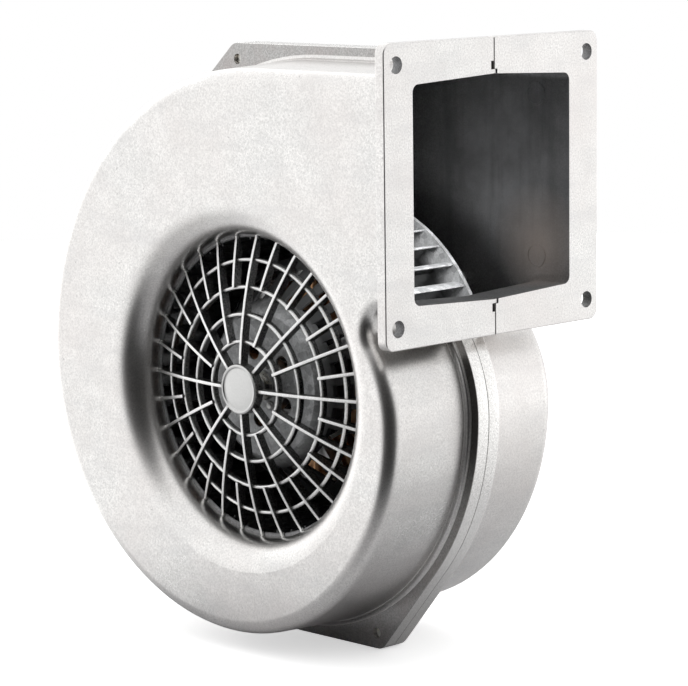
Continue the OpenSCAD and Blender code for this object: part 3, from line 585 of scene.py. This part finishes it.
# --- inlet guard ---
class BLOWER_OT_inlet_guard(bpy.types.Operator):
    """Models the domed guard: centre disc, rings, rim and bars of three lengths"""
    bl_idname = "blower.inlet_guard"
    bl_label = "Inlet guard"

    def execute(self, context):
        p = Plan()
        g = context.scene.blower_guard
        size = in_mm(g, "dome_r hub_r first_ring ring_pitch bar_w bar_depth")
        crown = p.front_depth - 3
        throat_end = p.front_depth - p.bell_r - THROAT_L
        w, depth = size.bar_w, size.bar_depth

        def dome(r):
            return crown - size.dome_r + math.sqrt(size.dome_r ** 2 - r ** 2)

        rings = [size.first_ring + i * size.ring_pitch for i in range(4)]
        hub_r, top = size.hub_r, crown + 1
        made = [turned("hub", [(0, top - 5), (hub_r - 0.6, top - 5), (hub_r, top - 4.4),
                               (hub_r, top - 0.9), (hub_r - 0.25, top - 0.3),
                               (hub_r - 0.8, top), (hub_r - 1.3, top - 0.1),
                               (hub_r - 1.7, top - 0.55), (hub_r - 2.1, top - 0.6),
                               (hub_r - 2.8, top - 0.35), (hub_r * 0.4, top - 0.15),
                               (0, top - 0.1)], 64)]
        for r in rings:
            front, back = dome(r) - 1.2, dome(r) - depth
            half = w / 2 + 0.08
            made.append(turned("ring", [
                (r - half + 0.15, back), (r + half - 0.15, back), (r + half, front - 0.6),
                (r + half * 0.62, front - 0.15), (r, front), (r - half * 0.62, front - 0.15),
                (r - half, front - 0.6)], 96))
        rim = p.throat_r - 0.02
        end = p.throat_r - 0.5
        made.append(turned("rim", [(rim - 1.4, throat_end), (rim, throat_end),
                                   (rim, throat_end + 0.8), (rim - 1.0, throat_end + 0.8),
                                   (rim - 1.4, throat_end + 0.4)], 128))
        for i in range(g.bars):
            angle = 90 + 360 * i / g.bars
            r0 = (hub_r - 1, rings[2], rings[0], rings[2])[i % 4]
            line = [r0 + (end - r0) * k / 8 for k in range(9)]
            side = ([(r, dome(r)) for r in line]
                    + [(r, max(dome(r) - depth, throat_end)) for r in reversed(line)])
            bar = move(prism("bar", side, -w / 2, w / 2), turn(90, "X"))
            bevel(bar, 0.35, 2, 60)
            made.append(move(bar, turn(angle)))
            nub = start("bar end", bpy.ops.mesh.primitive_uv_sphere_add, segments=12,
                        ring_count=8, radius=1)
            nub.data.transform(Matrix.Diagonal((1.5, 1.15, 1.3, 1)))
            made.append(move(nub, shift(*polar((0, 0), end - 0.4, angle), dome(end) - 1.0)
                             @ turn(angle)))
        for piece in made:
            # The rim deep in the throat takes the duct's dark colour: painted shade.
            rim_in_shade = piece.name.startswith("rim")
            piece.data.materials.append(duct_shade_material() if rim_in_shade else guard_material())
        guard = join(made)
        finish_piece(guard, "inlet_guard_grille", "casing", None,
                     ["inlet_guard"])
        return {"FINISHED"}


# --- impeller ---
class BLOWER_OT_impeller(bpy.types.Operator):
    """Models the wheel's curved blades and its rolled front ring"""
    bl_idname = "blower.impeller"
    bl_label = "Impeller"

    def execute(self, context):
        w = context.scene.blower_wheel
        size = in_mm(w, "wheel_r curve_r blade_t foot front ring_w")
        r, half = size.curve_r, size.blade_t / 2
        centre = (size.wheel_r - 11.5, -r)
        inner = arc(centre, r - half, 93, 30, 7)
        outer = arc(centre, r + half, 30, 93, 7)
        tip, root = polar(centre, r, 28.5), polar(centre, r, 94.5)
        blade = prism("blade", inner + [tip] + outer + [root], size.foot, size.front)
        blades = copies(blade, [turn(w.blade_start + 360 * i / w.blades)
                                for i in range(w.blades)])
        finish_piece(blades, "impeller_blade_set", "rotor", galvanised_material(),
                     ["impeller_blades"])
        edge, front = size.wheel_r, size.front
        bore = edge - size.ring_w
        ring = turned("front ring", [
            (bore, front + 0.4), (bore + 0.4, front), (edge - 0.3, front), (edge, front + 0.4),
            (edge, front + 1.5), (edge - 0.5, front + 2), (bore + 0.5, front + 2),
            (bore, front + 1.5)], 120)
        finish_piece(ring, "impeller_rolled_ring", "rotor", galvanised_material(),
                     ["impeller_front_ring"])
        return {"FINISHED"}


# --- screws ---
def cross_screw(d, length):
    """A pan head with a cross recess on a shank that points down."""
    r, h = 0.95 * d, 0.62 * d
    screw = turned("screw", [
        (0, h), (r * 0.55, h * 0.97), (r * 0.82, h * 0.86), (r * 0.96, h * 0.62), (r, h * 0.34),
        (r, 0.06 * d), (r * 0.97, 0), (d / 2, 0), (d / 2, 0.35 - length), (d * 0.4, -length),
        (0, -length)], 40)
    for angle in (0, 90):
        slot = start("slot", bpy.ops.mesh.primitive_cube_add, size=1)
        edit(slot)
        bpy.ops.mesh.select_all(action="DESELECT")
        mesh = bmesh.from_edit_mesh(slot.data)
        for face in mesh.faces:
            face.select = face.normal.z < -0.5
        bpy.ops.transform.resize(value=(0.45, 0.5, 1))
        leave()
        move(slot, turn(angle) @ shift(0, 0, h) @ Matrix.Diagonal((d, d * 0.24, h * 1.2, 1)))
        combine(screw, slot, "DIFFERENCE")
    return screw


class BLOWER_OT_screws(bpy.types.Operator):
    """Models the cross-recessed screws of the housing, the motor and the cover"""
    bl_idname = "blower.screws"
    bl_label = "Screws"

    def execute(self, context):
        p = Plan()
        size = in_mm(context.scene.blower_screws,
                     "housing_d motor_d cover_d motor_pcr cover_pcr")
        flange = -p.rear_depth - 4

        def circle(r, first, n, z):
            return [shift(*polar((0, 0), r, first + 360 * i / n), z) for i in range(n)]

        groups = (("housing", size.housing_d, 2 * p.seam_t - 1.5,
                   [shift(x, y, -p.seam_t) for x, y in p.ears]),
                  ("motor", size.motor_d, 10, circle(size.motor_pcr, 45, 4, flange)),
                  ("cover", size.cover_d, 5, circle(size.cover_pcr, 75, 3, flange - 2)))
        down = Matrix.Diagonal((1, 1, -1, 1))
        for n, (name, d, length, places) in enumerate(groups):
            made = copies(cross_screw(d, length),
                          [place @ turn(17 + 31 * i + 11 * n) @ down
                           for i, place in enumerate(places)])
            finish_piece(made, name + "_cross_screws", "casing", zinc_material(),
                         [name + "_screws"])
        return {"FINISHED"}


# --- softened machined parts ---
BODY_OF = {node: "rotor" for node in
           ("hub_bush", "hub_rivets", "motor_shaft", "impeller_hub_plate", "rotor_magnets")}
SOFTENED = (  # node, width of the broken edge in millimetres, segments
    ("motor_flange", 0.4, 2), ("electronics_cover", 0.5, 3), ("cable_grommet", 0.5, 3),
    ("hub_bush", 0.3, 2), ("hub_rivets", 0.3, 2), ("motor_shaft", 0.25, 2),
    ("stator_windings", 1.1, 3), ("stator_insulators", 0.2, 2),
    ("front_bearing_bracket", 0.3, 2), ("board_components", 0.2, 2),
    ("impeller_hub_plate", 0.2, 2), ("rotor_magnets", 0.3, 2),
)


class BLOWER_OT_softened_parts(bpy.types.Operator):
    """Breaks the edges of the turned, cast and moulded parts of the motor and the hub"""
    bl_idname = "blower.softened_parts"
    bl_label = "Motor and hub"

    def execute(self, context):
        parts = {part["node"]: part for part in frame["record"]["subparts"]}
        for node, width, segments in SOFTENED:
            slot = parts[node]["material_slot"]
            obj = put(node + "_soft", frame["nodes"][node].data.copy())
            edit(obj)
            bpy.ops.mesh.remove_doubles(threshold=0.000002)
            bpy.ops.mesh.dissolve_limited(angle_limit=math.radians(0.6))
            leave()
            bevel(obj, width * MM, segments, 32)
            obj.data.name = obj.name
            smooth(obj)
            stand_for(obj, BODY_OF.get(node, "casing"), FINISH_OF_SLOT[slot](), [node])
        return {"FINISHED"}


# --- materials ---
class Sock:
    """A node socket that Python operators act on."""

    def __init__(self, maker, socket):
        self.maker, self.socket = maker, socket

    def _math(self, operation, other, swap=False):
        pair = (other, self) if swap else (self, other)
        return self.maker.node("ShaderNodeMath", {"operation": operation}, pair)

    def __add__(self, other):
        return self._math("ADD", other)

    def __sub__(self, other):
        return self._math("SUBTRACT", other)

    def __rsub__(self, other):
        return self._math("SUBTRACT", other, True)

    def __mul__(self, other):
        return self._math("MULTIPLY", other)

    __radd__, __rmul__ = __add__, __mul__


class Maker:
    """Builds the nodes of one material, or the world's."""

    def __init__(self, tree):
        self.tree = tree

    def node(self, kind, settings, inputs, output=0):
        made = self.tree.nodes.new(kind)
        for key, value in settings.items():
            setattr(made, key, value)
        pairs = inputs.items() if isinstance(inputs, dict) else enumerate(inputs)
        for key, value in pairs:
            self.feed(made.inputs[key], value)
        return Sock(self, made.outputs[output])

    def feed(self, socket, value):
        """Links a socket to another, or gives it a constant."""
        if isinstance(value, Sock):
            self.tree.links.new(value.socket, socket)
        else:
            socket.default_value = value

    def place(self, **mapping):
        """Object coordinates, passed through a Mapping node where it has settings."""
        plain = self.node("ShaderNodeTexCoord", {}, {}, "Object")
        if not mapping:
            return plain
        return self.node("ShaderNodeMapping", {}, {"Vector": plain, **mapping})

    def about_axis(self, **mapping):
        """Object coordinates turned and moved so that z is the fan axis."""
        p = Plan()
        return self.place(Location=(p.outlet_x * MM, -p.flange_y * MM, 0),
                          Rotation=(math.pi / 2, 0, 0), **mapping)

    def measure(self, operation, *vectors):
        """One number from vectors: a length, a distance or a dot product."""
        return self.node("ShaderNodeVectorMath", {"operation": operation}, vectors, "Value")

    def off_axis(self):
        """Distance from the fan axis."""
        return self.measure("LENGTH", self.about_axis(Scale=(1, 0, 1)))

    def facing(self, towards, low, high):
        """One where the surface faces a direction of the object, fading to nothing."""
        normal = self.node("ShaderNodeTexCoord", {}, {}, "Normal")
        return self.steps(self.measure("DOT_PRODUCT", normal, Vector(towards).normalized()),
                          low, high, 0, 1)

    def noise(self, scale, detail, rough, where=None):
        return self.node("ShaderNodeTexNoise", {}, {
            "Vector": where or self.place(), "Scale": scale, "Detail": detail,
            "Roughness": rough}, "Fac")

    def rings(self, scale, distortion):
        """Rings about the fan axis."""
        return self.node("ShaderNodeTexWave", {"wave_type": "RINGS", "rings_direction": "Z"}, {
            "Vector": self.about_axis(), "Scale": scale, "Distortion": distortion,
            "Detail": 2.0}, "Fac")

    def steps(self, value, low, high, out_low, out_high):
        return self.node("ShaderNodeMapRange", {"clamp": True}, {
            "Value": value, "From Min": low, "From Max": high, "To Min": out_low,
            "To Max": out_high})

    def mix(self, factor, a, b):
        return self.node("ShaderNodeMix", {"data_type": "RGBA"}, {0: factor, 6: a, 7: b}, 2)

    def tint(self, tone, other, value, low, high, amount=1):
        """Mixes in up to amount of another colour as the value goes from low to high."""
        return self.mix(self.steps(value, low, high, 0, amount), tone, other)

    def set(self, bump=None, **sockets):
        """Feeds the shader: bump is (height, strength, distance), the rest are sockets."""
        if bump:
            height, strength, distance = bump
            sockets["Normal"] = self.node("ShaderNodeBump", {}, {
                "Height": height, "Strength": strength, "Distance": distance}, "Normal")
        for key, value in sockets.items():
            self.feed(self.tree.nodes["Principled BSDF"].inputs[key.replace("_", " ")], value)


def shade(rgb, factor=1.0):
    return (*[min(1.0, c * factor) for c in rgb], 1)


def finish(name, base=None):
    """Makes a function that sets up a maker into one that gives its material, built once."""
    def wrap(build):
        def material():
            made = bpy.data.materials.get(name)
            if not made:
                made = bpy.data.materials.new(name)
                made.use_nodes = True
                colours = bpy.context.scene.blower_finishes
                build(Maker(made.node_tree), base and getattr(colours, base))
            return made
        return material
    return wrap


@finish("blasted_casting", "casting")
def casting_material(m, base):
    """Bead-blasted aluminium: fine grain, worn clouds, long smears and a few dark specks."""
    grain = m.noise(1500, 2, 0.6)
    cloud = m.noise(90, 3, 0.5)
    flow = m.noise(18, 4, 0.6)
    smear = m.noise(30, 4, 0.6, m.place(Rotation=(0.3, 0.5, 0.9), Scale=(1, 1, 5)))
    tone = m.tint(shade(base, 0.80), shade(base, 1.12), grain, 0.32, 0.68)
    tone = m.tint(tone, shade(base, 0.66), cloud, 0.42, 0.72, 0.22)
    tone = m.tint(tone, shade((0.62, 0.615, 0.615)), smear, 0.48, 0.68, 0.38)
    tone = m.tint(tone, shade((0.76, 0.71, 0.69)), flow, 0.40, 0.75, 0.5)
    tone = m.tint(tone, shade(base, 0.35), m.noise(520, 2, 0.5), 0.72, 0.80, 0.5)
    rough = m.steps(flow, 0.3, 0.7, 0.25, 0.31) + m.steps(grain, 0.3, 0.7, 0.05, 0)
    m.set(Base_Color=tone, Metallic=1.0, Roughness=rough,
          bump=(grain + cloud * 0.8, 0.3, 0.0001))


@finish("seam_casting", "casting")
def seam_material(m, base):
    """Seam flange: a smoother skin, bright on the trimmed rim, with painted shade on the faces
    that look to the inlet side.
    """
    grain = m.noise(1300, 2, 0.6)
    # Painted shade: the darker tone of the flange's faces that look to the inlet side.
    face = m.tint(shade(base, 0.42), shade(base, 0.62), grain, 0.32, 0.68)
    face = m.tint(face, shade((0.40, 0.36, 0.35)), m.noise(90, 4, 0.65), 0.42, 0.72, 0.5)
    edge = m.tint(shade(base, 0.95), shade(base, 1.22), grain, 0.32, 0.68)
    m.set(Base_Color=m.mix(m.facing((0, -1, 0), 0.6, 0.9), edge, face), Metallic=1.0,
          Roughness=m.steps(grain, 0.3, 0.7, 0.19, 0.25), bump=(grain, 0.35, 0.0001))


@finish("raw_casting", "duct")
def duct_shade_material(m, base):
    """The skin inside the scroll and in the holes: a dark grey copy of the casting that paints
    the scroll's shade, with a painted pool of light in the middle of the duct's wall.
    """
    grain = m.noise(1500, 3, 0.7)
    cloud = m.noise(45, 5, 0.62)
    streak = m.noise(60, 3, 0.6, m.place(Scale=(2.2, 2.2, 0.25)))
    dust_and_light_pool = m.measure("DISTANCE", m.place(Scale=(1.0, 0.1, 0.9)), Vector((-0.035, 0.004, 0.006)))
    warm = m.measure("DISTANCE", m.place(), Vector((-0.016, 0.041, -0.026)))
    tone = m.tint(shade(base, 0.55), shade(base, 1.35), grain, 0.35, 0.7)
    # Painted light: a bright pool in the middle of the duct's wall, fading out from its centre.
    tone = m.mix(m.steps(dust_and_light_pool, 0.016, 0.052, 0.8, 0), tone, shade(base, 2.2))
    tone = m.tint(tone, shade(base, 0.5), cloud, 0.40, 0.70, 0.45)
    tone = m.tint(tone, shade(base, 0.45), streak, 0.45, 0.70, 0.35)
    tone = m.mix(m.steps(warm, 0.003, 0.024, 0.6, 0), tone, shade((0.95, 0.80, 0.70)))
    m.set(Base_Color=tone, Metallic=0.35, Roughness=m.steps(cloud, 0.3, 0.7, 0.40, 0.55),
          bump=(grain, 0.5, 0.00012))


@finish("guard_bright", "guard")
def guard_material(m, base):
    """Die-cast grille: bright front edges, a duller hub, and granular sides darkened with
    painted shade.
    """
    grain = m.noise(1600, 3, 0.65)
    hub = m.steps(m.off_axis(), 0.0115, 0.0122, 0.7, 0)
    tone = m.tint(shade(base, 0.80), shade(base, 1.10), grain, 0.3, 0.7)
    tone = m.tint(tone, shade(base, 0.6), m.noise(160, 3, 0.6), 0.5, 0.8, 0.4)
    tone = m.mix(hub, tone, shade(base, 0.62))
    # Painted shade: the faces that don't look to the inlet side take this much darker tone.
    side = m.tint(shade(base, 0.10), shade(base, 0.48), grain, 0.35, 0.68)
    m.set(Base_Color=m.mix(m.facing((0, -1, 0), 0.25, 0.65), side, tone), Metallic=1.0,
          Roughness=m.steps(grain, 0.3, 0.7, 0.30, 0.42), bump=(grain, 0.45, 0.00012))


@finish("galvanised", "sheet")
def galvanised_material(m, base):
    """Galvanised sheet: crystals of different grey, with painted shade between hub and blade
    tips.
    """
    crystal = m.node("ShaderNodeTexVoronoi", {}, {"Vector": m.place(), "Scale": 420.0}, "Color")
    value = m.node("ShaderNodeSeparateColor", {}, [crystal], "Red")
    grain = m.noise(1200, 3, 0.7)
    tone = m.tint(shade(base, 0.72), shade(base, 1.35), value, 0, 1)
    tone = m.tint(tone, shade(base, 0.45), grain, 0.45, 0.75, 0.6)
    out = m.off_axis()
    # Painted shade: very dark from 34 to 57 mm off the fan axis, fading out between 30 and 34
    # mm and between 57 and 62 mm.
    outside_painted_shade = m.steps(out, 0.057, 0.062, 0, 1) + m.steps(out, 0.030, 0.034, 1, 0)
    rough = m.steps(value, 0, 1, 0.34, 0.50) + m.steps(grain, 0.3, 0.7, 0, 0.06)
    m.set(Base_Color=m.mix(outside_painted_shade, shade(base, 0.16), tone), Metallic=0.6, Roughness=rough,
          bump=(grain, 0.35, 0.0001))


def turned_finish(name, base, scale, low, high):
    """Metal with fine rings about the fan axis, as a lathe leaves them."""
    @finish(name, base)
    def build(m, base):
        rings = m.rings(scale, 0.6)
        tone = m.tint(shade(base, 1.08), shade(base, 0.78), rings, 0, 1, 0.5)
        tone = m.tint(tone, shade(base, 0.6), m.noise(900, 3, 0.6), 0.5, 0.8, 0.4)
        m.set(Base_Color=tone, Metallic=1.0, Roughness=m.steps(rings, 0, 1, low, high),
              bump=(rings, 0.25, 0.00005))
    return build


@finish("bearing_polish", "steel")
def bearing_material(m, base):
    """Ground and polished bearing steel."""
    grain = m.noise(2500, 2, 0.5)
    m.set(Base_Color=m.mix(grain, shade(base, 1.25), shade(base, 1.05)), Metallic=1.0,
          Roughness=m.steps(grain, 0.3, 0.7, 0.10, 0.16))


@finish("zinc_plating", "zinc")
def zinc_material(m, base):
    """Zinc plating: cool bright steel with a faint yellow cast in its clouds."""
    grain = m.noise(2200, 2, 0.6)
    tone = m.tint(shade(base, 1.1), shade((0.60, 0.57, 0.48)), m.noise(320, 3, 0.6), 0.35, 0.7)
    tone = m.tint(tone, shade(base, 0.6), grain, 0.5, 0.8, 0.4)
    m.set(Base_Color=tone, Metallic=1.0, Roughness=m.steps(grain, 0.3, 0.7, 0.24, 0.36),
          bump=(grain, 0.3, 0.00004))


@finish("laminations", "lamination")
def lamination_material(m, base):
    """Stacked sheets: thin dark lines across the fan axis."""
    sheets = m.node("ShaderNodeTexWave", {"bands_direction": "Y", "wave_profile": "SAW"}, {
        "Vector": m.place(), "Scale": 560.0, "Distortion": 0.2}, "Fac")
    tone = m.tint(shade(base, 1.4), shade(base, 0.5), sheets, 0, 1)
    tone = m.tint(tone, shade((0.16, 0.10, 0.07)), m.noise(260, 3, 0.6), 0.55, 0.8, 0.5)
    m.set(Base_Color=tone, Metallic=0.8, Roughness=m.steps(sheets, 0, 1, 0.35, 0.55),
          bump=(sheets, 0.4, 0.00008))


@finish("ferrite", "ferrite")
def ferrite_material(m, base):
    """Sintered magnet: matt black with a sandy grain."""
    grain = m.noise(900, 4, 0.7)
    m.set(Base_Color=m.tint(shade(base, 0.6), shade(base, 1.8), grain, 0.3, 0.7),
          Roughness=m.steps(grain, 0.3, 0.7, 0.5, 0.7), bump=(grain, 0.4, 0.0001))


@finish("copper_wire", "copper")
def copper_material(m, base):
    """Enamelled wire: fine turns along each coil with a glossy brown enamel."""
    wires = m.rings(420.0, 1.2)
    burnt = m.noise(150, 3, 0.6)
    tone = m.tint(shade(base, 0.35), shade(base, 1.25), wires, 0.1, 0.6)
    tone = m.tint(tone, shade((0.30, 0.11, 0.04)), burnt, 0.45, 0.75, 0.5)
    m.set(Base_Color=tone, Metallic=0.85, Roughness=m.steps(wires, 0, 1, 0.42, 0.24),
          Coat_Weight=m.steps(burnt, 0.3, 0.7, 0.5, 0.2), bump=(wires, 0.6, 0.0002))


def moulded_finish(name, base, low, high, grain_scale=1100, depth=0.0001):
    """Moulded plastic or rubber with a fine grain and a little dust."""
    @finish(name, base)
    def build(m, base):
        grain = m.noise(grain_scale, 3, 0.6)
        dust_and_light_pool = m.noise(70, 4, 0.65)
        tone = m.tint(shade(base, 0.8), shade(base, 1.3), grain, 0.3, 0.7)
        tone = m.tint(tone, shade((0.32, 0.31, 0.30)), dust_and_light_pool, 0.5, 0.85, 0.16)
        m.set(Base_Color=tone, Roughness=m.steps(dust_and_light_pool, 0.3, 0.7, low, high),
              bump=(grain, 0.5, depth))
    return build


@finish("board_green", "board")
def board_material(m, base):
    """Solder mask over faint copper fields."""
    fields = m.node("ShaderNodeTexVoronoi", {"feature": "DISTANCE_TO_EDGE"},
                    {"Vector": m.place(), "Scale": 180.0}, "Distance")
    tone = m.tint(shade(base, 1.9), shade(base, 1.0), fields, 0.02, 0.08)
    tone = m.tint(tone, shade(base, 0.7), m.noise(1500, 2, 0.5), 0.5, 0.8, 0.3)
    m.set(Base_Color=tone, Roughness=m.steps(fields, 0.0, 0.1, 0.22, 0.34),
          bump=(m.steps(fields, 0.02, 0.08, 1, 0), 0.4, 0.00003))


FINISH_OF_SLOT = {
    "cast_aluminium": casting_material, "guard_aluminium": guard_material,
    "galvanised_sheet": galvanised_material, "rivet_aluminium": guard_material,
    "machined_aluminium": turned_finish("machined_aluminium", "machined", 900, 0.26, 0.38),
    "machined_steel": turned_finish("turned_steel", "steel", 1500, 0.20, 0.32),
    "zinc_steel": zinc_material, "bearing_steel": bearing_material,
    "lamination_steel": lamination_material, "ferrite": ferrite_material,
    "copper_wire": copper_material, "board_green": board_material,
    "insulator_plastic": moulded_finish("insulator_plastic", "insulator", 0.38, 0.50),
    "seal_rubber": moulded_finish("black_rubber", "rubber", 0.55, 0.75, 700),
    "component_black": moulded_finish("component_black", "plastic", 0.28, 0.42, 1800, 0.00005),
    "black_plastic": moulded_finish("black_plastic", "plastic", 0.36, 0.52),
}


class BLOWER_OT_finish_nodes(bpy.types.Operator):
    """Gives each construction node the material of its slot"""
    bl_idname = "blower.finish_nodes"
    bl_label = "Node finishes"

    def execute(self, context):
        for part in frame["record"]["subparts"]:
            material = FINISH_OF_SLOT[part["material_slot"]]()
            node = frame["nodes"][part["node"]]
            if not node.material_slots:
                raise RuntimeError(f"{part['node']} has no material slot")
            for slot in node.material_slots:
                slot.material = material
        return {"FINISHED"}


# --- stage ---
CAMERA_AT = (0.747416, -0.822993, 0.111091)
CAMERA_DEGREES = (45.192, 8.677, -0.731)
CAMERA_LENS = 155.92
LAMP_AT, LAMP_AIM = Vector((-0.004, -0.012, 0.012)), Vector((-0.075, 0.0, -0.050))


@finish("floor_paper")
def floor_material(m, _):
    """White paper to the eye; the metal mirrors it only close by, and the tent further off."""
    m.set(Base_Color=(0.9, 0.9, 0.9, 1), Roughness=0.9, Emission_Color=(1, 1, 1, 1),
          Emission_Strength=0.55)
    away = m.measure("DISTANCE", m.place(), Vector((-0.1, 0, CAD_BOX[0][2])))
    clear = m.node("ShaderNodeBsdfTransparent", {}, {})
    grey = m.node("ShaderNodeBsdfDiffuse", {}, {"Color": (0.56, 0.56, 0.57, 1)})
    mirrored = m.node("ShaderNodeMixShader", {}, [m.steps(away, 0.08, 0.24, 0, 1), grey, clear])
    seen = m.node("ShaderNodeLightPath", {}, {}, "Is Camera Ray")
    paper = Sock(m, m.tree.nodes["Principled BSDF"].outputs[0])
    both = m.node("ShaderNodeMixShader", {}, [seen, mirrored, paper])
    m.feed(m.tree.nodes["Material Output"].inputs["Surface"], both)


class BLOWER_OT_stage(bpy.types.Operator):
    """Sets the floor, the light tent and the camera"""
    bl_idname = "blower.stage"
    bl_label = "Stage"

    def execute(self, context):
        floor = start("floor", bpy.ops.mesh.primitive_circle_add, vertices=64, radius=1.4,
                      fill_type="NGON")
        floor.data.transform(shift(-0.1, 0, CAD_BOX[0][2] - 0.0002))
        floor.data.materials.append(floor_material())
        self.camera(context)
        self.tent(context)
        self.duct_lamp(context)
        return {"FINISHED"}

    def duct_lamp(self, context):
        """A small soft lamp in the mouth of the outlet that lights the wheel."""
        lamp = put("duct_lamp", bpy.data.lights.new("duct_lamp", "AREA"))
        lamp.data.size = 0.05
        lamp.data.energy = 0.10
        lamp.data.spread = math.radians(80)
        lamp.visible_camera = lamp.visible_glossy = False
        lit = bpy.data.collections.new("lit_by_duct_lamp")
        for obj in context.scene.objects:
            if obj.name.startswith("impeller_"):
                lit.objects.link(obj)
        lamp.light_linking.receiver_collection = lit
        aim = (LAMP_AIM - LAMP_AT).to_track_quat("-Z", "Y")
        lamp.matrix_world = shift(*LAMP_AT) @ aim.to_matrix().to_4x4()

    def camera(self, context):
        camera = put("camera", bpy.data.cameras.new("camera"))
        azimuth, elevation, roll = CAMERA_DEGREES
        camera.matrix_world = (shift(*CAMERA_AT) @ turn(azimuth) @ turn(90 - elevation, "X")
                               @ turn(roll))
        camera.data.lens = CAMERA_LENS
        camera.data.sensor_width = 36
        camera.data.clip_start = 0.05
        context.scene.camera = camera

    def tent(self, context):
        world = bpy.data.worlds.new("light_tent")
        world.use_nodes = True
        m = Maker(world.node_tree)
        direction = m.node("ShaderNodeTexCoord", {}, {}, "Generated")

        def patch(x, y, z, full, gone):
            """One inside a cone about a direction, fading between the two cosines."""
            along = m.measure("DOT_PRODUCT", direction, Vector((x, y, z)).normalized())
            return m.node("ShaderNodeMapRange", {"interpolation_type": "SMOOTHSTEP"}, {
                "Value": along, "From Min": gone, "From Max": full, "To Min": 0.0,
                "To Max": 1.0})

        left = patch(-0.96, 0.28, 0, 0.97, 0.60)
        right = patch(0.70, 0.70, 0, 0.90, 0.30)
        window = patch(0.42, 0.91, 0, 0.995, 0.93)
        below = patch(0, 0, -1, 0.72, 0.12)
        behind = patch(0.45, 0.89, 0, 0.75, 0.05)
        ahead = patch(-0.2, -0.98, 0, 0.75, 0.05)
        rim = patch(-0.70, 0.70, -0.14, 0.98, 0.88)
        dark = patch(0.72, -0.68, -0.12, 0.78, 0.42)
        light = ((left * 0.55 + window * 0.55 + 1.17 - right * 0.14
                  - below * (behind * 0.22 + ahead * 0.42 + 0.16))
                 * (1 - rim * 0.65) * (1 - dark * 0.985))
        seen = m.node("ShaderNodeLightPath", {}, {}, "Is Camera Ray")
        strength = light * (1 - seen) + seen
        back = world.node_tree.nodes["Background"]
        back.inputs["Color"].default_value = (1, 1, 1, 1)
        m.feed(back.inputs["Strength"], strength)
        context.scene.world = world
        context.scene.view_settings.view_transform = "Standard"


class BLOWER_PT_panel(bpy.types.Panel):
    """Lists the operators and sizes of the blower"""
    bl_label = "Blower"
    bl_idname = "BLOWER_PT_panel"
    bl_space_type = "VIEW_3D"
    bl_region_type = "UI"
    bl_category = "Blower"

    def draw(self, context):
        for step in STEPS:
            self.layout.operator(step.bl_idname)
        for group in GROUPS:
            settings = getattr(context.scene, group)
            for name in settings.bl_rna.properties.keys():
                if name not in ("rna_type", "name"):
                    self.layout.prop(settings, name)


STEPS = (BLOWER_OT_finish_nodes, BLOWER_OT_front_casting, BLOWER_OT_rear_casting,
         BLOWER_OT_inlet_guard, BLOWER_OT_impeller, BLOWER_OT_screws,
         BLOWER_OT_softened_parts, BLOWER_OT_stage)
GROUPS = {"blower_castings": CastingSizes, "blower_guard": GuardSizes,
          "blower_wheel": WheelSizes, "blower_screws": ScrewSizes,
          "blower_finishes": Finishes}
CLASSES = (*GROUPS.values(), *STEPS, BLOWER_PT_panel)


def register():
    for item in CLASSES:
        bpy.utils.register_class(item)
    for name, group in GROUPS.items():
        setattr(bpy.types.Scene, name, PointerProperty(type=group))


def unregister():
    for name in GROUPS:
        delattr(bpy.types.Scene, name)
    for item in reversed(CLASSES):
        bpy.utils.unregister_class(item)


def main():
    register()
    for step in STEPS:
        group, name = step.bl_idname.split(".")
        getattr(getattr(bpy.ops, group), name)()


if __name__ == "__main__":
    main()
